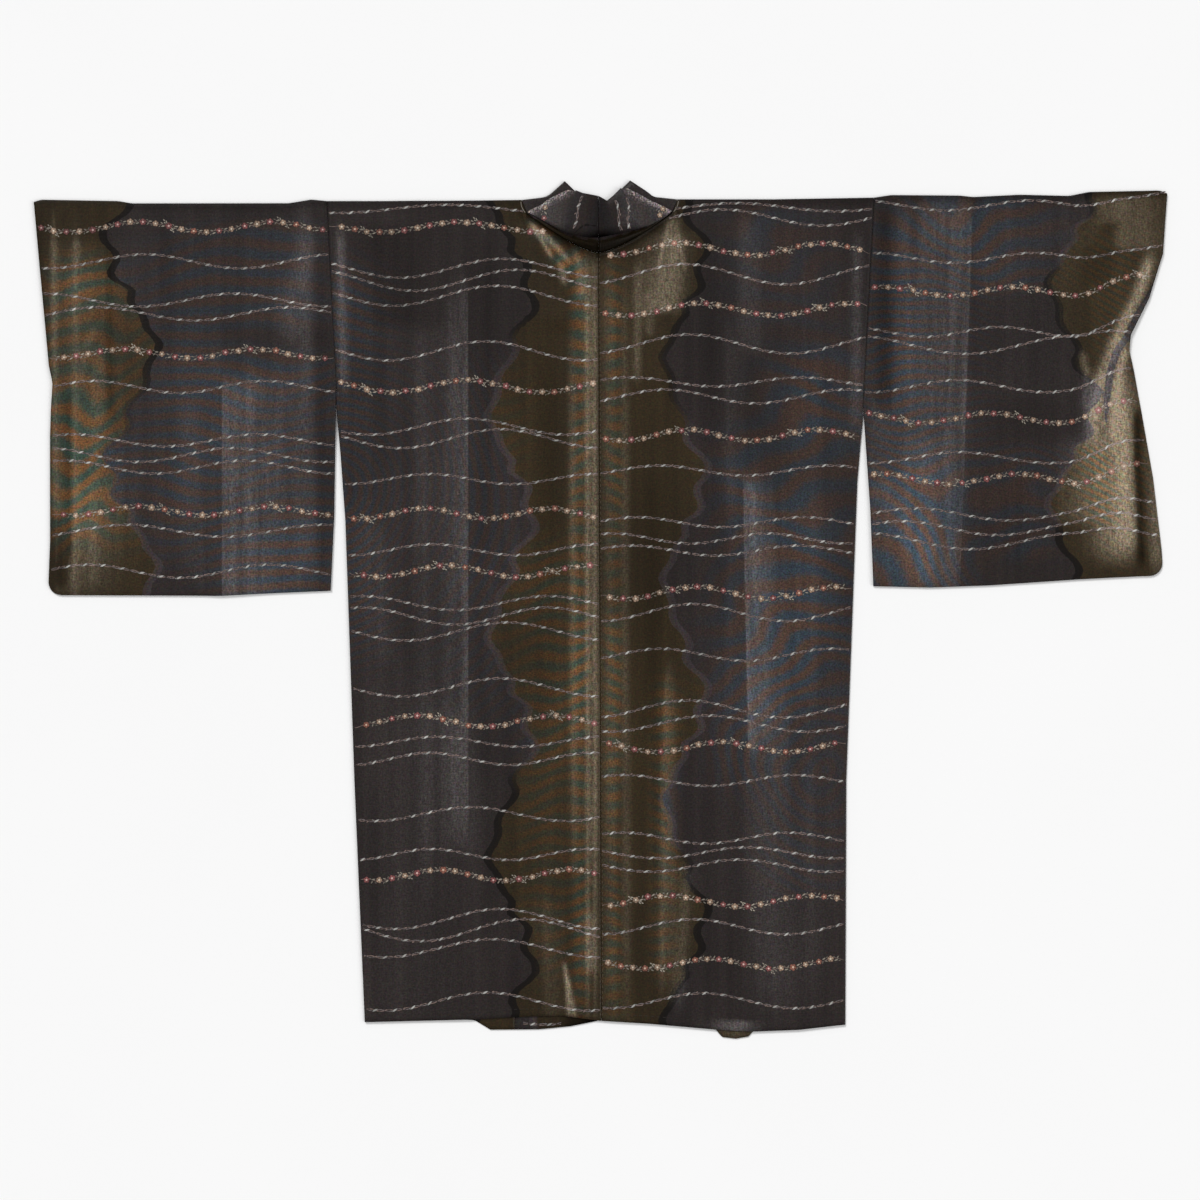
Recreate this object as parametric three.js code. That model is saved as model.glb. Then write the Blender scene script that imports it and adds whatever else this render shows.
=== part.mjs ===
// A haori-cut kimono coat laid out flat on its fronts, with its back uppermost.
//
// Millimetres, +Z up. +Y runs from the hem to the neck and -X is the wearer's left. The origin is on the
// ground, under the middle of the coat's outline.
//
// The coat is six cut pieces. Each body piece runs from the back hem over the shoulder to the front hem.
// Each sleeve is one piece folded at the top, and sewn along the bottom and below the wrist opening. Each
// half of the collar runs from the front hem round the neck to the centre back, where it is turned down.
// Every piece is a wall of cloth, made by thickening its middle surface.

import * as THREE from 'three';
import { mergeVertices } from 'three/addons/utils/BufferGeometryUtils.js';

// ---- Driving dimensions ----

const CLOTH = 1.2; // thickness of the wall
const SEAM_GAP = 0.3; // clear air between sewn pieces
const NECK_GAP = 0.7; // the same at the neckline, between middle surfaces that slope
const LAYER_GAP = 0.4; // clear air between layers that lie on each other
const UNDER_Z = CLOTH / 2; // middle of the layer on the ground
const UPPER_Z = UNDER_Z + CLOTH + LAYER_GAP; // middle of the layer on top of it
const ROLL_STEPS = 2; // points between the two ends of a folded edge

const BODY_ROWS = 23; // from shoulder to hem
const SIDE_COLUMNS = 10; // from the side seam to the shoulder point of the neckline
const NECK_COLUMNS = 6; // from there to the centre back
const SLEEVE_ROWS = 14;
const SLEEVE_COLUMNS = 14;
const STRIP_ROWS = 14; // of the collar down the front
const CREASE_COLUMNS = 4; // of the collar where it goes over to the front
const PEAK_COLUMNS = 1; // between its peak and the turned-down part
const TURN_COLUMNS = 6; // of the turned-down part as far as the centre back
const FLANK_COLUMNS = 5; // of the turned-down part beside the peak
const STAND_ROWS = 6;
const TURN_ROWS = 4;

// ---- Outline ----
// Each side is given on its own +X, so x is the distance from the centre line and both read alike.

const SIDES = {
  left: {
    sign: -1,
    armpitY: 262,
    cuffEndY: 265, // the wrist is sewn shut below this
    bodyEdge: [
      { y: 475, x: 318 },
      { y: 262, x: 307 },
      { y: 104, x: 295.5 },
      { y: -198, x: 285 },
      { y: -479, x: 273 },
    ],
    shoulder: [
      { x: 91, y: 475.3 },
      { x: 200, y: 474 },
      { x: 318, y: 474 },
    ],
    backHem: [
      { x: 0, y: -477.5 },
      { x: 45, y: -471.6 },
      { x: 98, y: -473 },
      { x: 150, y: -476 },
      { x: 273, y: -479 },
    ],
    frontHem: [
      { x: 0, y: -477 },
      { x: 35, y: -484 },
      { x: 70, y: -487.5 },
      { x: 128, y: -488 },
      { x: 146, y: -477 },
      { x: 180, y: -475 },
      { x: 273, y: -479 },
    ],
    shoulderPoint: { x: 91, y: 475.3 },
    neckPoint: { x: 85.5, y: 461 },
    creaseTop: [
      { x: 91, y: 475.3 },
      { x: 64.5, y: 478.5 },
      { x: 58, y: 482 },
      { x: 40.7, y: 497.5 },
    ],
    turnTop: [
      { x: 29, y: 486.2 },
      { x: 21, y: 483 },
      { x: 0, y: 479.5 },
    ],
    flankTop: [
      { x: 85.5, y: 462.5 },
      { x: 67, y: 471.5 },
      { x: 61, y: 477 },
      { x: 38, y: 488 },
      { x: 29, y: 486.2 },
    ],
    turnEdge: [
      { x: 85.5, y: 462.5 },
      { x: 49.5, y: 442.5 },
      { x: 35.5, y: 436 },
      { x: 13.5, y: 432 },
      { x: 0, y: 432 },
    ],
    sleeveArm: [
      { y: 475, x: 318 },
      { y: 262, x: 307 },
      { y: 104, x: 309.5 },
      { y: 18, x: 313.5 },
    ],
    sleeveCuff: [
      { y: 475, x: 658.5 },
      { y: 395, x: 651.5 },
      { y: 283, x: 641 },
      { y: 263, x: 636.5 },
      { y: 203, x: 638.5 },
      { y: 80, x: 638.5 },
      { y: 45, x: 640 },
      { y: 18, x: 633 },
    ],
    sleeveTop: [
      { x: 318, y: 474 },
      { x: 336, y: 475.8 },
      { x: 362, y: 471.5 },
      { x: 545, y: 471.3 },
      { x: 560, y: 474 },
      { x: 650, y: 475.6 },
      { x: 658.5, y: 473 },
    ],
    sleeveBottom: [
      { x: 313.5, y: 23.5 },
      { x: 450, y: 17.7 },
      { x: 610, y: 18.3 },
      { x: 633, y: 24 },
    ],
    // Soft ridges and pressed creases of the upper layer, from (x0, top) down to (x1, foot). "far" is the
    // half-width away from the centre line, "near" the half-width towards it.
    relief: [
      { x0: 322, x1: 300, top: 440, foot: 200, far: 16, near: 24, height: 1.4 },
      { x0: 212, x1: 205, top: 470, foot: -300, far: 30, near: 34, height: 1.2 },
      { x0: 156, x1: 153, top: 400, foot: -430, far: 36, near: 14, height: 2.6 },
      { x0: 100, x1: 96, top: 380, foot: -350, far: 26, near: 26, height: 1.1 },
      { x0: 64, x1: 46, top: 440, foot: 330, far: 20, near: 20, height: 2.2 },
      { x0: 26, x1: 24, top: 390, foot: -440, far: 24, near: 14, height: 2.4 },
      { x0: 442, x1: 440, top: 300, foot: 20, far: 16, near: 36, height: 2.3 },
      { x0: 520, x1: 512, top: 440, foot: 80, far: 30, near: 26, height: 1.3 },
      { x0: 604, x1: 606, top: 440, foot: 60, far: 18, near: 22, height: 2 },
    ],
  },
  right: {
    sign: 1,
    armpitY: 237,
    cuffEndY: 306,
    bodyEdge: [
      { y: 479, x: 318 },
      { y: 237, x: 305 },
      { y: 150, x: 297.5 },
      { y: -198, x: 284.5 },
      { y: -482, x: 283.5 },
    ],
    shoulder: [
      { x: 89, y: 476 },
      { x: 200, y: 476 },
      { x: 318, y: 478 },
    ],
    backHem: [
      { x: 0, y: -477.5 },
      { x: 58, y: -481 },
      { x: 137, y: -488 },
      { x: 176, y: -490 },
      { x: 230, y: -488 },
      { x: 283.5, y: -482 },
    ],
    frontHem: [
      { x: 0, y: -472 },
      { x: 100, y: -478 },
      { x: 132, y: -485 },
      { x: 141, y: -496.5 },
      { x: 157, y: -498.5 },
      { x: 172, y: -496 },
      { x: 182, y: -485 },
      { x: 230, y: -484 },
      { x: 283.5, y: -482 },
    ],
    shoulderPoint: { x: 89, y: 476 },
    neckPoint: { x: 83, y: 462 },
    creaseTop: [
      { x: 89, y: 476 },
      { x: 61, y: 479 },
      { x: 54, y: 485 },
      { x: 33.7, y: 498.3 },
    ],
    turnTop: [
      { x: 24, y: 489 },
      { x: 14.5, y: 479.5 },
      { x: 7.6, y: 474 },
      { x: 0, y: 479.5 },
    ],
    flankTop: [
      { x: 83, y: 463.5 },
      { x: 57.5, y: 476 },
      { x: 30, y: 490.5 },
      { x: 24, y: 489 },
    ],
    turnEdge: [
      { x: 83, y: 463.5 },
      { x: 77, y: 457.6 },
      { x: 57.5, y: 446.6 },
      { x: 40, y: 441.3 },
      { x: 26, y: 437.3 },
      { x: 10.5, y: 434.4 },
      { x: 0, y: 432 },
    ],
    sleeveArm: [
      { y: 479, x: 318 },
      { y: 237, x: 305 },
      { y: 116, x: 313.5 },
      { y: 27, x: 317 },
    ],
    sleeveCuff: [
      { y: 484, x: 658.5 },
      { y: 412, x: 653.5 },
      { y: 360, x: 637.5 },
      { y: 318, x: 616 },
      { y: 300, x: 614 },
      { y: 231, x: 627 },
      { y: 151, x: 641 },
      { y: 66, x: 651 },
      { y: 38, x: 644 },
    ],
    sleeveTop: [
      { x: 318, y: 478 },
      { x: 338, y: 481 },
      { x: 418, y: 480.4 },
      { x: 433, y: 478.7 },
      { x: 488, y: 481.4 },
      { x: 545, y: 480 },
      { x: 568, y: 484.6 },
      { x: 650, y: 486.3 },
      { x: 658.5, y: 483 },
    ],
    sleeveBottom: [
      { x: 317, y: 28.8 },
      { x: 383, y: 27.2 },
      { x: 453, y: 29.8 },
      { x: 557, y: 36.8 },
      { x: 627, y: 40.3 },
      { x: 644, y: 44 },
    ],
    relief: [
      { x0: 18, x1: 20, top: 380, foot: -420, far: 18, near: 14, height: 1.8 },
      { x0: 82, x1: 88, top: 440, foot: 260, far: 26, near: 26, height: 2.4 },
      { x0: 94, x1: 88, top: -100, foot: -440, far: 22, near: 22, height: 1.4 },
      { x0: 168, x1: 182, top: 440, foot: 140, far: 30, near: 20, height: 1.7 },
      { x0: 176, x1: 172, top: 120, foot: -450, far: 36, near: 16, height: 2.9 },
      { x0: 250, x1: 246, top: 200, foot: -420, far: 24, near: 30, height: 1.4 },
      { x0: 346, x1: 336, top: 450, foot: 260, far: 18, near: 18, height: 1.2 },
      { x0: 418, x1: 414, top: 440, foot: 60, far: 14, near: 38, height: 2.2 },
      { x0: 500, x1: 510, top: 420, foot: 60, far: 34, near: 28, height: 1.2 },
      { x0: 630, x1: 580, top: 430, foot: 200, far: 18, near: 24, height: 2.6 },
      { x0: 578, x1: 618, top: 190, foot: 70, far: 20, near: 24, height: 2.6 },
    ],
  },
};

const SEAM_TOP_X = -2.5; // the centre back seam leans from here at the neck
const SEAM_HEM_X = 1.2; // to here at the hem
const NECK_LOW_Y = 414.5; // middle of the back neckline
const NECK_CURVE = 1.45; // 1 is a straight V, 2 a parabola
const NECK_LIFT = 3.3; // the back neckline stands this far off the front
const NECK_LIFT_REACH = 26;
const STAND_DIP = 7; // the collar's stand drops from the seam within this

const STRIP_HEM_X = 99.5; // where the seam between front and collar meets the hem
const STRIP_INNER_X = 3.5; // where the collar's inner edge meets it
const BACK_SPLIT_X = 91; // where the back's column under the shoulder point meets it

const TURN_STEP = CLOTH + 1; // from the stand to the turned-down part, along their common fold
const FLANK_STEP = CLOTH + LAYER_GAP; // the same along the flank, which lies close
const TURN_LIFT = 4.8; // how far its free edge rises above the stand in the middle
const TURN_LIFT_REACH = 45; // and how far from the neck point it gets there

// ---- Tables and relief ----

const lerp = (a, b, t) => a + (b - a) * t;

function smooth(t) {
  const c = Math.min(1, Math.max(0, t));
  return c * c * (3 - 2 * c);
}

// Value in a table at a key, straight between its rows.
function along(rows, key, value, at) {
  const rising = rows[rows.length - 1][key] > rows[0][key] ? 1 : -1;
  for (let i = 1; i < rows.length; i++) {
    const a = rows[i - 1];
    const b = rows[i];
    if ((at - b[key]) * rising > 0) continue;
    const t = Math.max(0, (at - a[key]) / (b[key] - a[key]));
    return lerp(a[value], b[value], t);
  }
  return rows[rows.length - 1][value];
}

// Evenly spaced points of a line of rows, by length.
function pointsAlong(rows, count) {
  const lengths = [0];
  for (let i = 1; i < rows.length; i++) {
    const step = Math.hypot(rows[i].x - rows[i - 1].x, rows[i].y - rows[i - 1].y);
    lengths.push(lengths[i - 1] + step);
  }
  const line = rows.map((row, i) => ({ ...row, length: lengths[i] }));
  const points = [];
  for (let k = 0; k <= count; k++) {
    const at = (lengths[rows.length - 1] * k) / count;
    points.push({ x: along(line, 'length', 'x', at), y: along(line, 'length', 'y', at) });
  }
  return points;
}

// Shares of the way down a panel, closer near its top, with one of them moved to a given share.
function shares(count, kept) {
  const list = [];
  for (let j = 0; j <= count; j++) {
    const t = j / count;
    list.push(t * (0.75 + 0.25 * t));
  }
  let nearest = 1;
  for (let j = 1; j < count; j++) {
    if (Math.abs(list[j] - kept) < Math.abs(list[nearest] - kept)) nearest = j;
  }
  list[nearest] = kept;
  return list;
}

function reliefAt(side, x, y) {
  let z = 0;
  for (const { x0, x1, top, foot, far, near, height } of side.relief) {
    const t = (top - y) / (top - foot);
    const away = x - lerp(x0, x1, t);
    const across = away / (away > 0 ? far : near);
    const fade = smooth(t / 0.2 + 0.5) * smooth((1 - t) / 0.2 + 0.5);
    z += height * Math.exp(-across * across) * fade;
  }
  return z;
}

function neckliftAt(side, x) {
  return NECK_LIFT * smooth((side.neckPoint.x - x) / 40);
}

// Centre back seam, on a side's own +X.
function seamX(side, y) {
  const t = (NECK_LOW_Y - y) / (NECK_LOW_Y + 478);
  return side.sign * lerp(SEAM_TOP_X, SEAM_HEM_X, t) + SEAM_GAP / 2;
}

// Seam between a front and the collar.
function frontEdgeX(side, y) {
  return lerp(side.shoulderPoint.x, STRIP_HEM_X, (side.shoulderPoint.y - y) / 962);
}

function necklineY(side, x) {
  const centre = seamX(side, NECK_LOW_Y);
  const t = Math.max(0, (x - centre) / (side.neckPoint.x - centre));
  return lerp(NECK_LOW_Y, side.neckPoint.y, Math.pow(t, NECK_CURVE));
}

function backZ(side, x, y) {
  const below = necklineY(side, Math.min(x, side.neckPoint.x)) - y;
  const beside = Math.max(0, x - side.neckPoint.x);
  const away = Math.hypot(below, beside) / NECK_LIFT_REACH;
  return UPPER_Z + reliefAt(side, x, y) + neckliftAt(side, x) * Math.exp(-away * away);
}

// ---- Middle surface of a piece, and its thickening ----

class Sheet {
  constructor() {
    this.positions = [];
  }

  // Rows of points. The face that looks out of the garment has the first row on top and each row running
  // from left to right.
  grid(rows) {
    for (let j = 0; j + 1 < rows.length; j++) {
      for (let i = 0; i + 1 < rows[j].length; i++) {
        const corners = [rows[j][i], rows[j + 1][i], rows[j + 1][i + 1], rows[j][i + 1]];
        for (const k of [0, 1, 2, 0, 2, 3]) this.positions.push(...corners[k].toArray());
      }
    }
  }

  // A wall of cloth: both faces half a thickness out, and a strip round each free edge.
  wall(sign) {
    const raw = new THREE.BufferGeometry();
    raw.setAttribute('position', new THREE.Float32BufferAttribute(this.positions, 3));
    const sheet = mergeVertices(raw, 1e-3);
    sheet.computeVertexNormals();
    const { position, normal } = sheet.attributes;
    const count = position.count;
    const points = [];
    for (const face of [1, -1]) {
      for (let i = 0; i < count; i++) {
        const p = new THREE.Vector3().fromBufferAttribute(position, i);
        const out = new THREE.Vector3().fromBufferAttribute(normal, i);
        p.addScaledVector(out, (face * CLOTH) / 2);
        points.push(p.x * sign, p.y, p.z);
      }
    }
    const triangles = [];
    const edges = new Map();
    const corner = sheet.index.array;
    for (let f = 0; f < corner.length; f += 3) {
      const [a, b, c] = corner.slice(f, f + 3);
      if (a === b || b === c || c === a) continue;
      triangles.push([a, b, c], [a + count, c + count, b + count]);
      for (const [from, to] of [
        [a, b],
        [b, c],
        [c, a],
      ]) {
        if (!edges.delete(`${to} ${from}`)) edges.set(`${from} ${to}`, [from, to]);
      }
    }
    for (const [from, to] of edges.values()) {
      triangles.push([from, from + count, to + count], [from, to + count, to]);
    }
    if (sign < 0) triangles.forEach((t) => t.reverse());
    const geometry = new THREE.BufferGeometry();
    geometry.setAttribute('position', new THREE.Float32BufferAttribute(points, 3));
    geometry.setIndex(triangles.flat());
    return geometry;
  }
}

const point = (x, y, z) => new THREE.Vector3(x, y, z);
const UP = point(0, 1, 0);
const DOWN = point(0, -1, 0);
const OUT = point(1, 0, 0);

const reversed = (rows) => rows.map((row) => [...row].reverse());

// Points round a folded edge, from the upper layer's point to the under layer's.
function roll(upper, under, out) {
  const radius = (upper.z - under.z) / 2;
  const points = [upper];
  for (let k = 1; k <= ROLL_STEPS; k++) {
    const angle = (Math.PI * k) / (ROLL_STEPS + 1);
    const p = upper.clone().lerp(under, (1 - Math.cos(angle)) / 2);
    points.push(p.addScaledVector(out, radius * Math.sin(angle)));
  }
  points.push(under);
  return points;
}

// Columns of points turned into rows.
function transposed(columns) {
  return columns[0].map((_, j) => columns.map((column) => column[j]));
}

// ---- Body: back, shoulder fold and front in one ----

function backRow(side, v) {
  const top = side.bodyEdge[0].y;
  const foot = side.bodyEdge[side.bodyEdge.length - 1].y;
  const outerX = along(side.bodyEdge, 'y', 'x', lerp(top, foot, v)) - SEAM_GAP / 2;
  const splitX = lerp(side.shoulderPoint.x + SEAM_GAP, BACK_SPLIT_X, v);
  const row = [];
  for (let i = 0; i <= SIDE_COLUMNS; i++) {
    const x = lerp(outerX, splitX, i / SIDE_COLUMNS);
    const y = lerp(along(side.shoulder, 'x', 'y', x), along(side.backHem, 'x', 'y', x), v);
    row.push(point(x, y, backZ(side, x, y)));
  }
  for (let i = 1; i <= NECK_COLUMNS; i++) {
    const topX = lerp(side.neckPoint.x, seamX(side, NECK_LOW_Y), (i - 1) / (NECK_COLUMNS - 1));
    const hemX = lerp(BACK_SPLIT_X, seamX(side, foot), i / NECK_COLUMNS);
    const x = lerp(topX, hemX, v);
    const y = lerp(necklineY(side, topX), along(side.backHem, 'x', 'y', hemX), v);
    row.push(point(x, y, backZ(side, x, y)));
  }
  return row;
}

function frontRow(side, v) {
  const top = side.bodyEdge[0].y;
  const foot = side.bodyEdge[side.bodyEdge.length - 1].y;
  const y = lerp(top, foot, v);
  const outerX = along(side.bodyEdge, 'y', 'x', y) - SEAM_GAP / 2;
  const innerX = frontEdgeX(side, y) + SEAM_GAP;
  const row = [];
  for (let i = 0; i <= SIDE_COLUMNS; i++) {
    const x = lerp(outerX, v === 0 ? side.shoulderPoint.x + SEAM_GAP : innerX, i / SIDE_COLUMNS);
    row.push(
      point(x, lerp(along(side.shoulder, 'x', 'y', x), along(side.frontHem, 'x', 'y', x), v), UNDER_Z),
    );
  }
  return row;
}

function bodySheet(side) {
  const height = side.bodyEdge[0].y - side.bodyEdge[side.bodyEdge.length - 1].y;
  const rows = shares(BODY_ROWS, (side.bodyEdge[0].y - side.armpitY) / height);
  const back = rows.map((v) => backRow(side, v));
  const front = rows.map((v) => frontRow(side, v));
  const shoulder = front[0].map((under, i) => roll(back[0][i], under, UP));
  const seam = [];
  back.forEach((row, j) => {
    if (row[0].y < side.armpitY - 5) seam.push(roll(row[0], front[j][0], OUT));
  });
  const sheet = new Sheet();
  sheet.grid(reversed(back));
  sheet.grid(front);
  sheet.grid(transposed(shoulder));
  sheet.grid(transposed([...seam].reverse()));
  return sheet;
}

// ---- Sleeve ----

function sleeveRow(side, v, upper) {
  const arm = side.sleeveArm;
  const cuff = side.sleeveCuff;
  const armY = lerp(arm[0].y, arm[arm.length - 1].y, v);
  const cuffY = lerp(cuff[0].y, cuff[cuff.length - 1].y, v);
  const armX = along(arm, 'y', 'x', armY) + SEAM_GAP / 2;
  const cuffX = along(cuff, 'y', 'x', cuffY);
  const row = [];
  for (let i = 0; i <= SLEEVE_COLUMNS; i++) {
    const x = lerp(armX, cuffX, i / SLEEVE_COLUMNS);
    const y = lerp(along(side.sleeveTop, 'x', 'y', x), along(side.sleeveBottom, 'x', 'y', x), v);
    row.push(point(x, y, upper ? UPPER_Z + reliefAt(side, x, y) : UNDER_Z));
  }
  return row;
}

function sleeveSheet(side) {
  const arm = side.sleeveArm;
  const height = arm[0].y - arm[arm.length - 1].y;
  const rows = shares(SLEEVE_ROWS, (arm[0].y - side.armpitY) / height);
  const upper = rows.map((v) => sleeveRow(side, v, true));
  const under = rows.map((v) => sleeveRow(side, v, false));
  const fold = upper[0].map((p, i) => roll(p, under[0][i], UP));
  const bottom = upper[SLEEVE_ROWS].map((p, i) => roll(p, under[SLEEVE_ROWS][i], DOWN));
  const wrist = [];
  upper.forEach((row, j) => {
    const p = row[SLEEVE_COLUMNS];
    if (p.y > side.cuffEndY) return;
    wrist.push(j < SLEEVE_ROWS ? roll(p, under[j][SLEEVE_COLUMNS], OUT) : bottom[SLEEVE_COLUMNS]);
  });
  const sheet = new Sheet();
  sheet.grid(upper);
  sheet.grid(reversed(under));
  sheet.grid(transposed([...fold].reverse()));
  sheet.grid(transposed(bottom));
  sheet.grid(transposed([...wrist].reverse()));
  return sheet;
}

// ---- Collar ----

// Neckline seam on the collar's side, from the shoulder point to the centre back.
function neckSeam(side, count) {
  const rows = [side.shoulderPoint];
  for (let k = 0; k <= 8; k++) {
    const x = lerp(side.neckPoint.x, seamX(side, NECK_LOW_Y), k / 8);
    rows.push({ x: x - (NECK_GAP * (8 - k)) / 8, y: necklineY(side, x) + (NECK_GAP * k) / 8 });
  }
  return pointsAlong(rows, count);
}

// The ends of a table at the centre line are moved to the centre back seam.
function toSeam(side, rows) {
  return rows.map((row) => (row.x === 0 ? { x: seamX(side, NECK_LOW_Y), y: row.y } : row));
}

function standZ(side, foot, x, y) {
  const away = Math.hypot(x - foot.x, y - foot.y) / STAND_DIP;
  return UPPER_Z + neckliftAt(side, foot.x) * Math.exp(-away * away);
}

// From the seam down to the inner edge, and from the shoulder crease to the hem.
function stripRows(side, crease) {
  const rows = [];
  for (let j = 0; j <= STRIP_ROWS; j++) {
    const v = j / STRIP_ROWS;
    rows.push(
      crease.map((top, i) => {
        const hemX = lerp(STRIP_HEM_X, STRIP_INNER_X, i / CREASE_COLUMNS);
        const x = lerp(top.x, hemX, v);
        return point(x, lerp(top.y, along(side.frontHem, 'x', 'y', hemX), v), UNDER_Z);
      }),
    );
  }
  return rows;
}

function collarSheet(side) {
  const crease = pointsAlong(side.creaseTop, CREASE_COLUMNS);
  const turnTop = pointsAlong(toSeam(side, side.turnTop), TURN_COLUMNS);
  const tops = [...crease, ...turnTop];
  const feet = neckSeam(side, CREASE_COLUMNS + PEAK_COLUMNS + TURN_COLUMNS);

  const stand = tops.map((top, i) => {
    const column = [];
    for (let j = 0; j <= STAND_ROWS; j++) {
      const t = Math.pow(1 - j / STAND_ROWS, 1.4);
      const x = lerp(feet[i].x, top.x, t);
      const y = lerp(feet[i].y, top.y, t);
      column.push(point(x, y, standZ(side, feet[i], x, y)));
    }
    return column;
  });

  const strip = stripRows(side, crease);
  const shoulder = strip[0].map((under, i) => {
    const before = crease[Math.max(0, i - 1)];
    const after = crease[Math.min(CREASE_COLUMNS, i + 1)];
    const out = i === 0 ? UP : point(after.y - before.y, before.x - after.x, 0).normalize();
    return roll(stand[i][0], under, out);
  });

  // Turned-down part: its upper edge lies along the flank and then hangs from the top of the stand.
  const flank = pointsAlong(side.flankTop, FLANK_COLUMNS).slice(0, FLANK_COLUMNS);
  const edge = pointsAlong(toSeam(side, side.turnEdge), FLANK_COLUMNS + TURN_COLUMNS);
  const turned = [...flank, ...turnTop].map((top, i) => {
    const onFold = i >= FLANK_COLUMNS;
    const lift = TURN_LIFT * smooth((side.neckPoint.x - edge[i].x) / TURN_LIFT_REACH);
    const column = [];
    for (let j = 0; j <= TURN_ROWS; j++) {
      const t = j / TURN_ROWS;
      const step = lerp(onFold ? TURN_STEP : FLANK_STEP, FLANK_STEP + lift, Math.sqrt(t));
      column.push(point(lerp(top.x, edge[i].x, t), lerp(top.y, edge[i].y, t), UPPER_Z + step));
    }
    return column;
  });
  const hinge = turned.slice(FLANK_COLUMNS).map((column, k) => {
    return roll(column[0], stand[CREASE_COLUMNS + PEAK_COLUMNS + k][0], UP);
  });

  const sheet = new Sheet();
  sheet.grid(reversed(transposed(stand)));
  sheet.grid(strip);
  sheet.grid(transposed(shoulder));
  sheet.grid(transposed(turned));
  sheet.grid(reversed(transposed(hinge)));
  return sheet;
}

// ---- Build ----

const silk = new THREE.MeshStandardMaterial({ color: 0x37322f, roughness: 0.5, metalness: 0 });
const sleeveSilk = new THREE.MeshStandardMaterial({ color: 0x3a3535, roughness: 0.5, metalness: 0 });
const collarSilk = new THREE.MeshStandardMaterial({ color: 0x302c29, roughness: 0.5, metalness: 0 });

const coat = new THREE.Group();
for (const [name, side] of Object.entries(SIDES)) {
  const pieces = [
    ['body', bodySheet(side), silk],
    ['sleeve', sleeveSheet(side), sleeveSilk],
    ['collar', collarSheet(side), collarSilk],
  ];
  for (const [piece, sheet, material] of pieces) {
    const mesh = new THREE.Mesh(sheet.wall(side.sign), material);
    mesh.name = `${piece}_${name}`;
    coat.add(mesh);
  }
}

// The outline's middle goes to the origin.
const middle = new THREE.Box3().setFromObject(coat).getCenter(new THREE.Vector3());
coat.position.set(-middle.x, -middle.y, 0);

export default coat;
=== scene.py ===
"""A haori-cut kimono coat laid out flat with its back up: its cloth, garlands, seams, light and camera.

Sizes are in millimetres until a mesh is made. Each side of the coat is given on its own +X, as the distance
from the centre line, so the wearer's left and right read alike.
"""

import math

import bpy
import numpy as np
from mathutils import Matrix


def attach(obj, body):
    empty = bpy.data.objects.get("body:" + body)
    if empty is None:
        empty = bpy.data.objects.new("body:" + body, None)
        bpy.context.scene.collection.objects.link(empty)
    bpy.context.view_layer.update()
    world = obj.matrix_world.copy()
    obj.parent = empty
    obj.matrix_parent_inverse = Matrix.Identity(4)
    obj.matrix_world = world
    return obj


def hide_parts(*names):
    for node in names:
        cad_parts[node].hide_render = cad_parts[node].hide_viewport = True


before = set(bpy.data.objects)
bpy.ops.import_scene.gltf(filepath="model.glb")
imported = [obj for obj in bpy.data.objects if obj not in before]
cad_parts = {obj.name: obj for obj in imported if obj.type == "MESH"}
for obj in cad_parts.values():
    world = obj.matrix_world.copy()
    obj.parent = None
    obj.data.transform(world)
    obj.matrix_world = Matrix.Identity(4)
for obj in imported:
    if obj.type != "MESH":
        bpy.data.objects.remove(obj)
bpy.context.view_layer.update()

# ---- Driving sizes ----

MM = 0.001
CLOTH = 1.0  # thickness of the wall
SEAM_GAP = 0.3
NECK_GAP = 0.7
UNDER_Z = 0.62  # middle of the layer on the ground
UPPER_Z = 2.2  # middle of the layer on top of it
BETWEEN_Z = 1.2  # what lies lower belongs to the layer on the ground
ROLL_STEPS = 4  # points between the two ends of a folded edge
CELL = 3.7  # spacing of the cloth's points across a piece
NECK_CELL = 2.5  # the same between the neckline and the hem
LONG_CELL = 1.3 * CELL  # the same down a piece
STRIP_CELL = 1.6 * CELL  # and down the collar's strip
WELD_STEPS = 500  # a millimetre is split in so many steps, and points on the same step are one
CORNER_RADIUS = 15  # of a sleeve's lower corner
CORNER_REACH = 1.15 * CORNER_RADIUS  # finer cells start this far from the edge
CORNER_CELL = 3.0
BODY_WIDTH = 225  # about, from the side seam to the front edge
NECK_WIDTH = 90  # about, from there to the centre back seam
SLEEVE_WIDTH = 330  # about, from the armhole to the cuff
SLEEVE_INNER_WIDTH = 320  # about, up to the finer cells
SHIFT = (-0.0075, -0.562)  # from the outline's drawing to its middle

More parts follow.
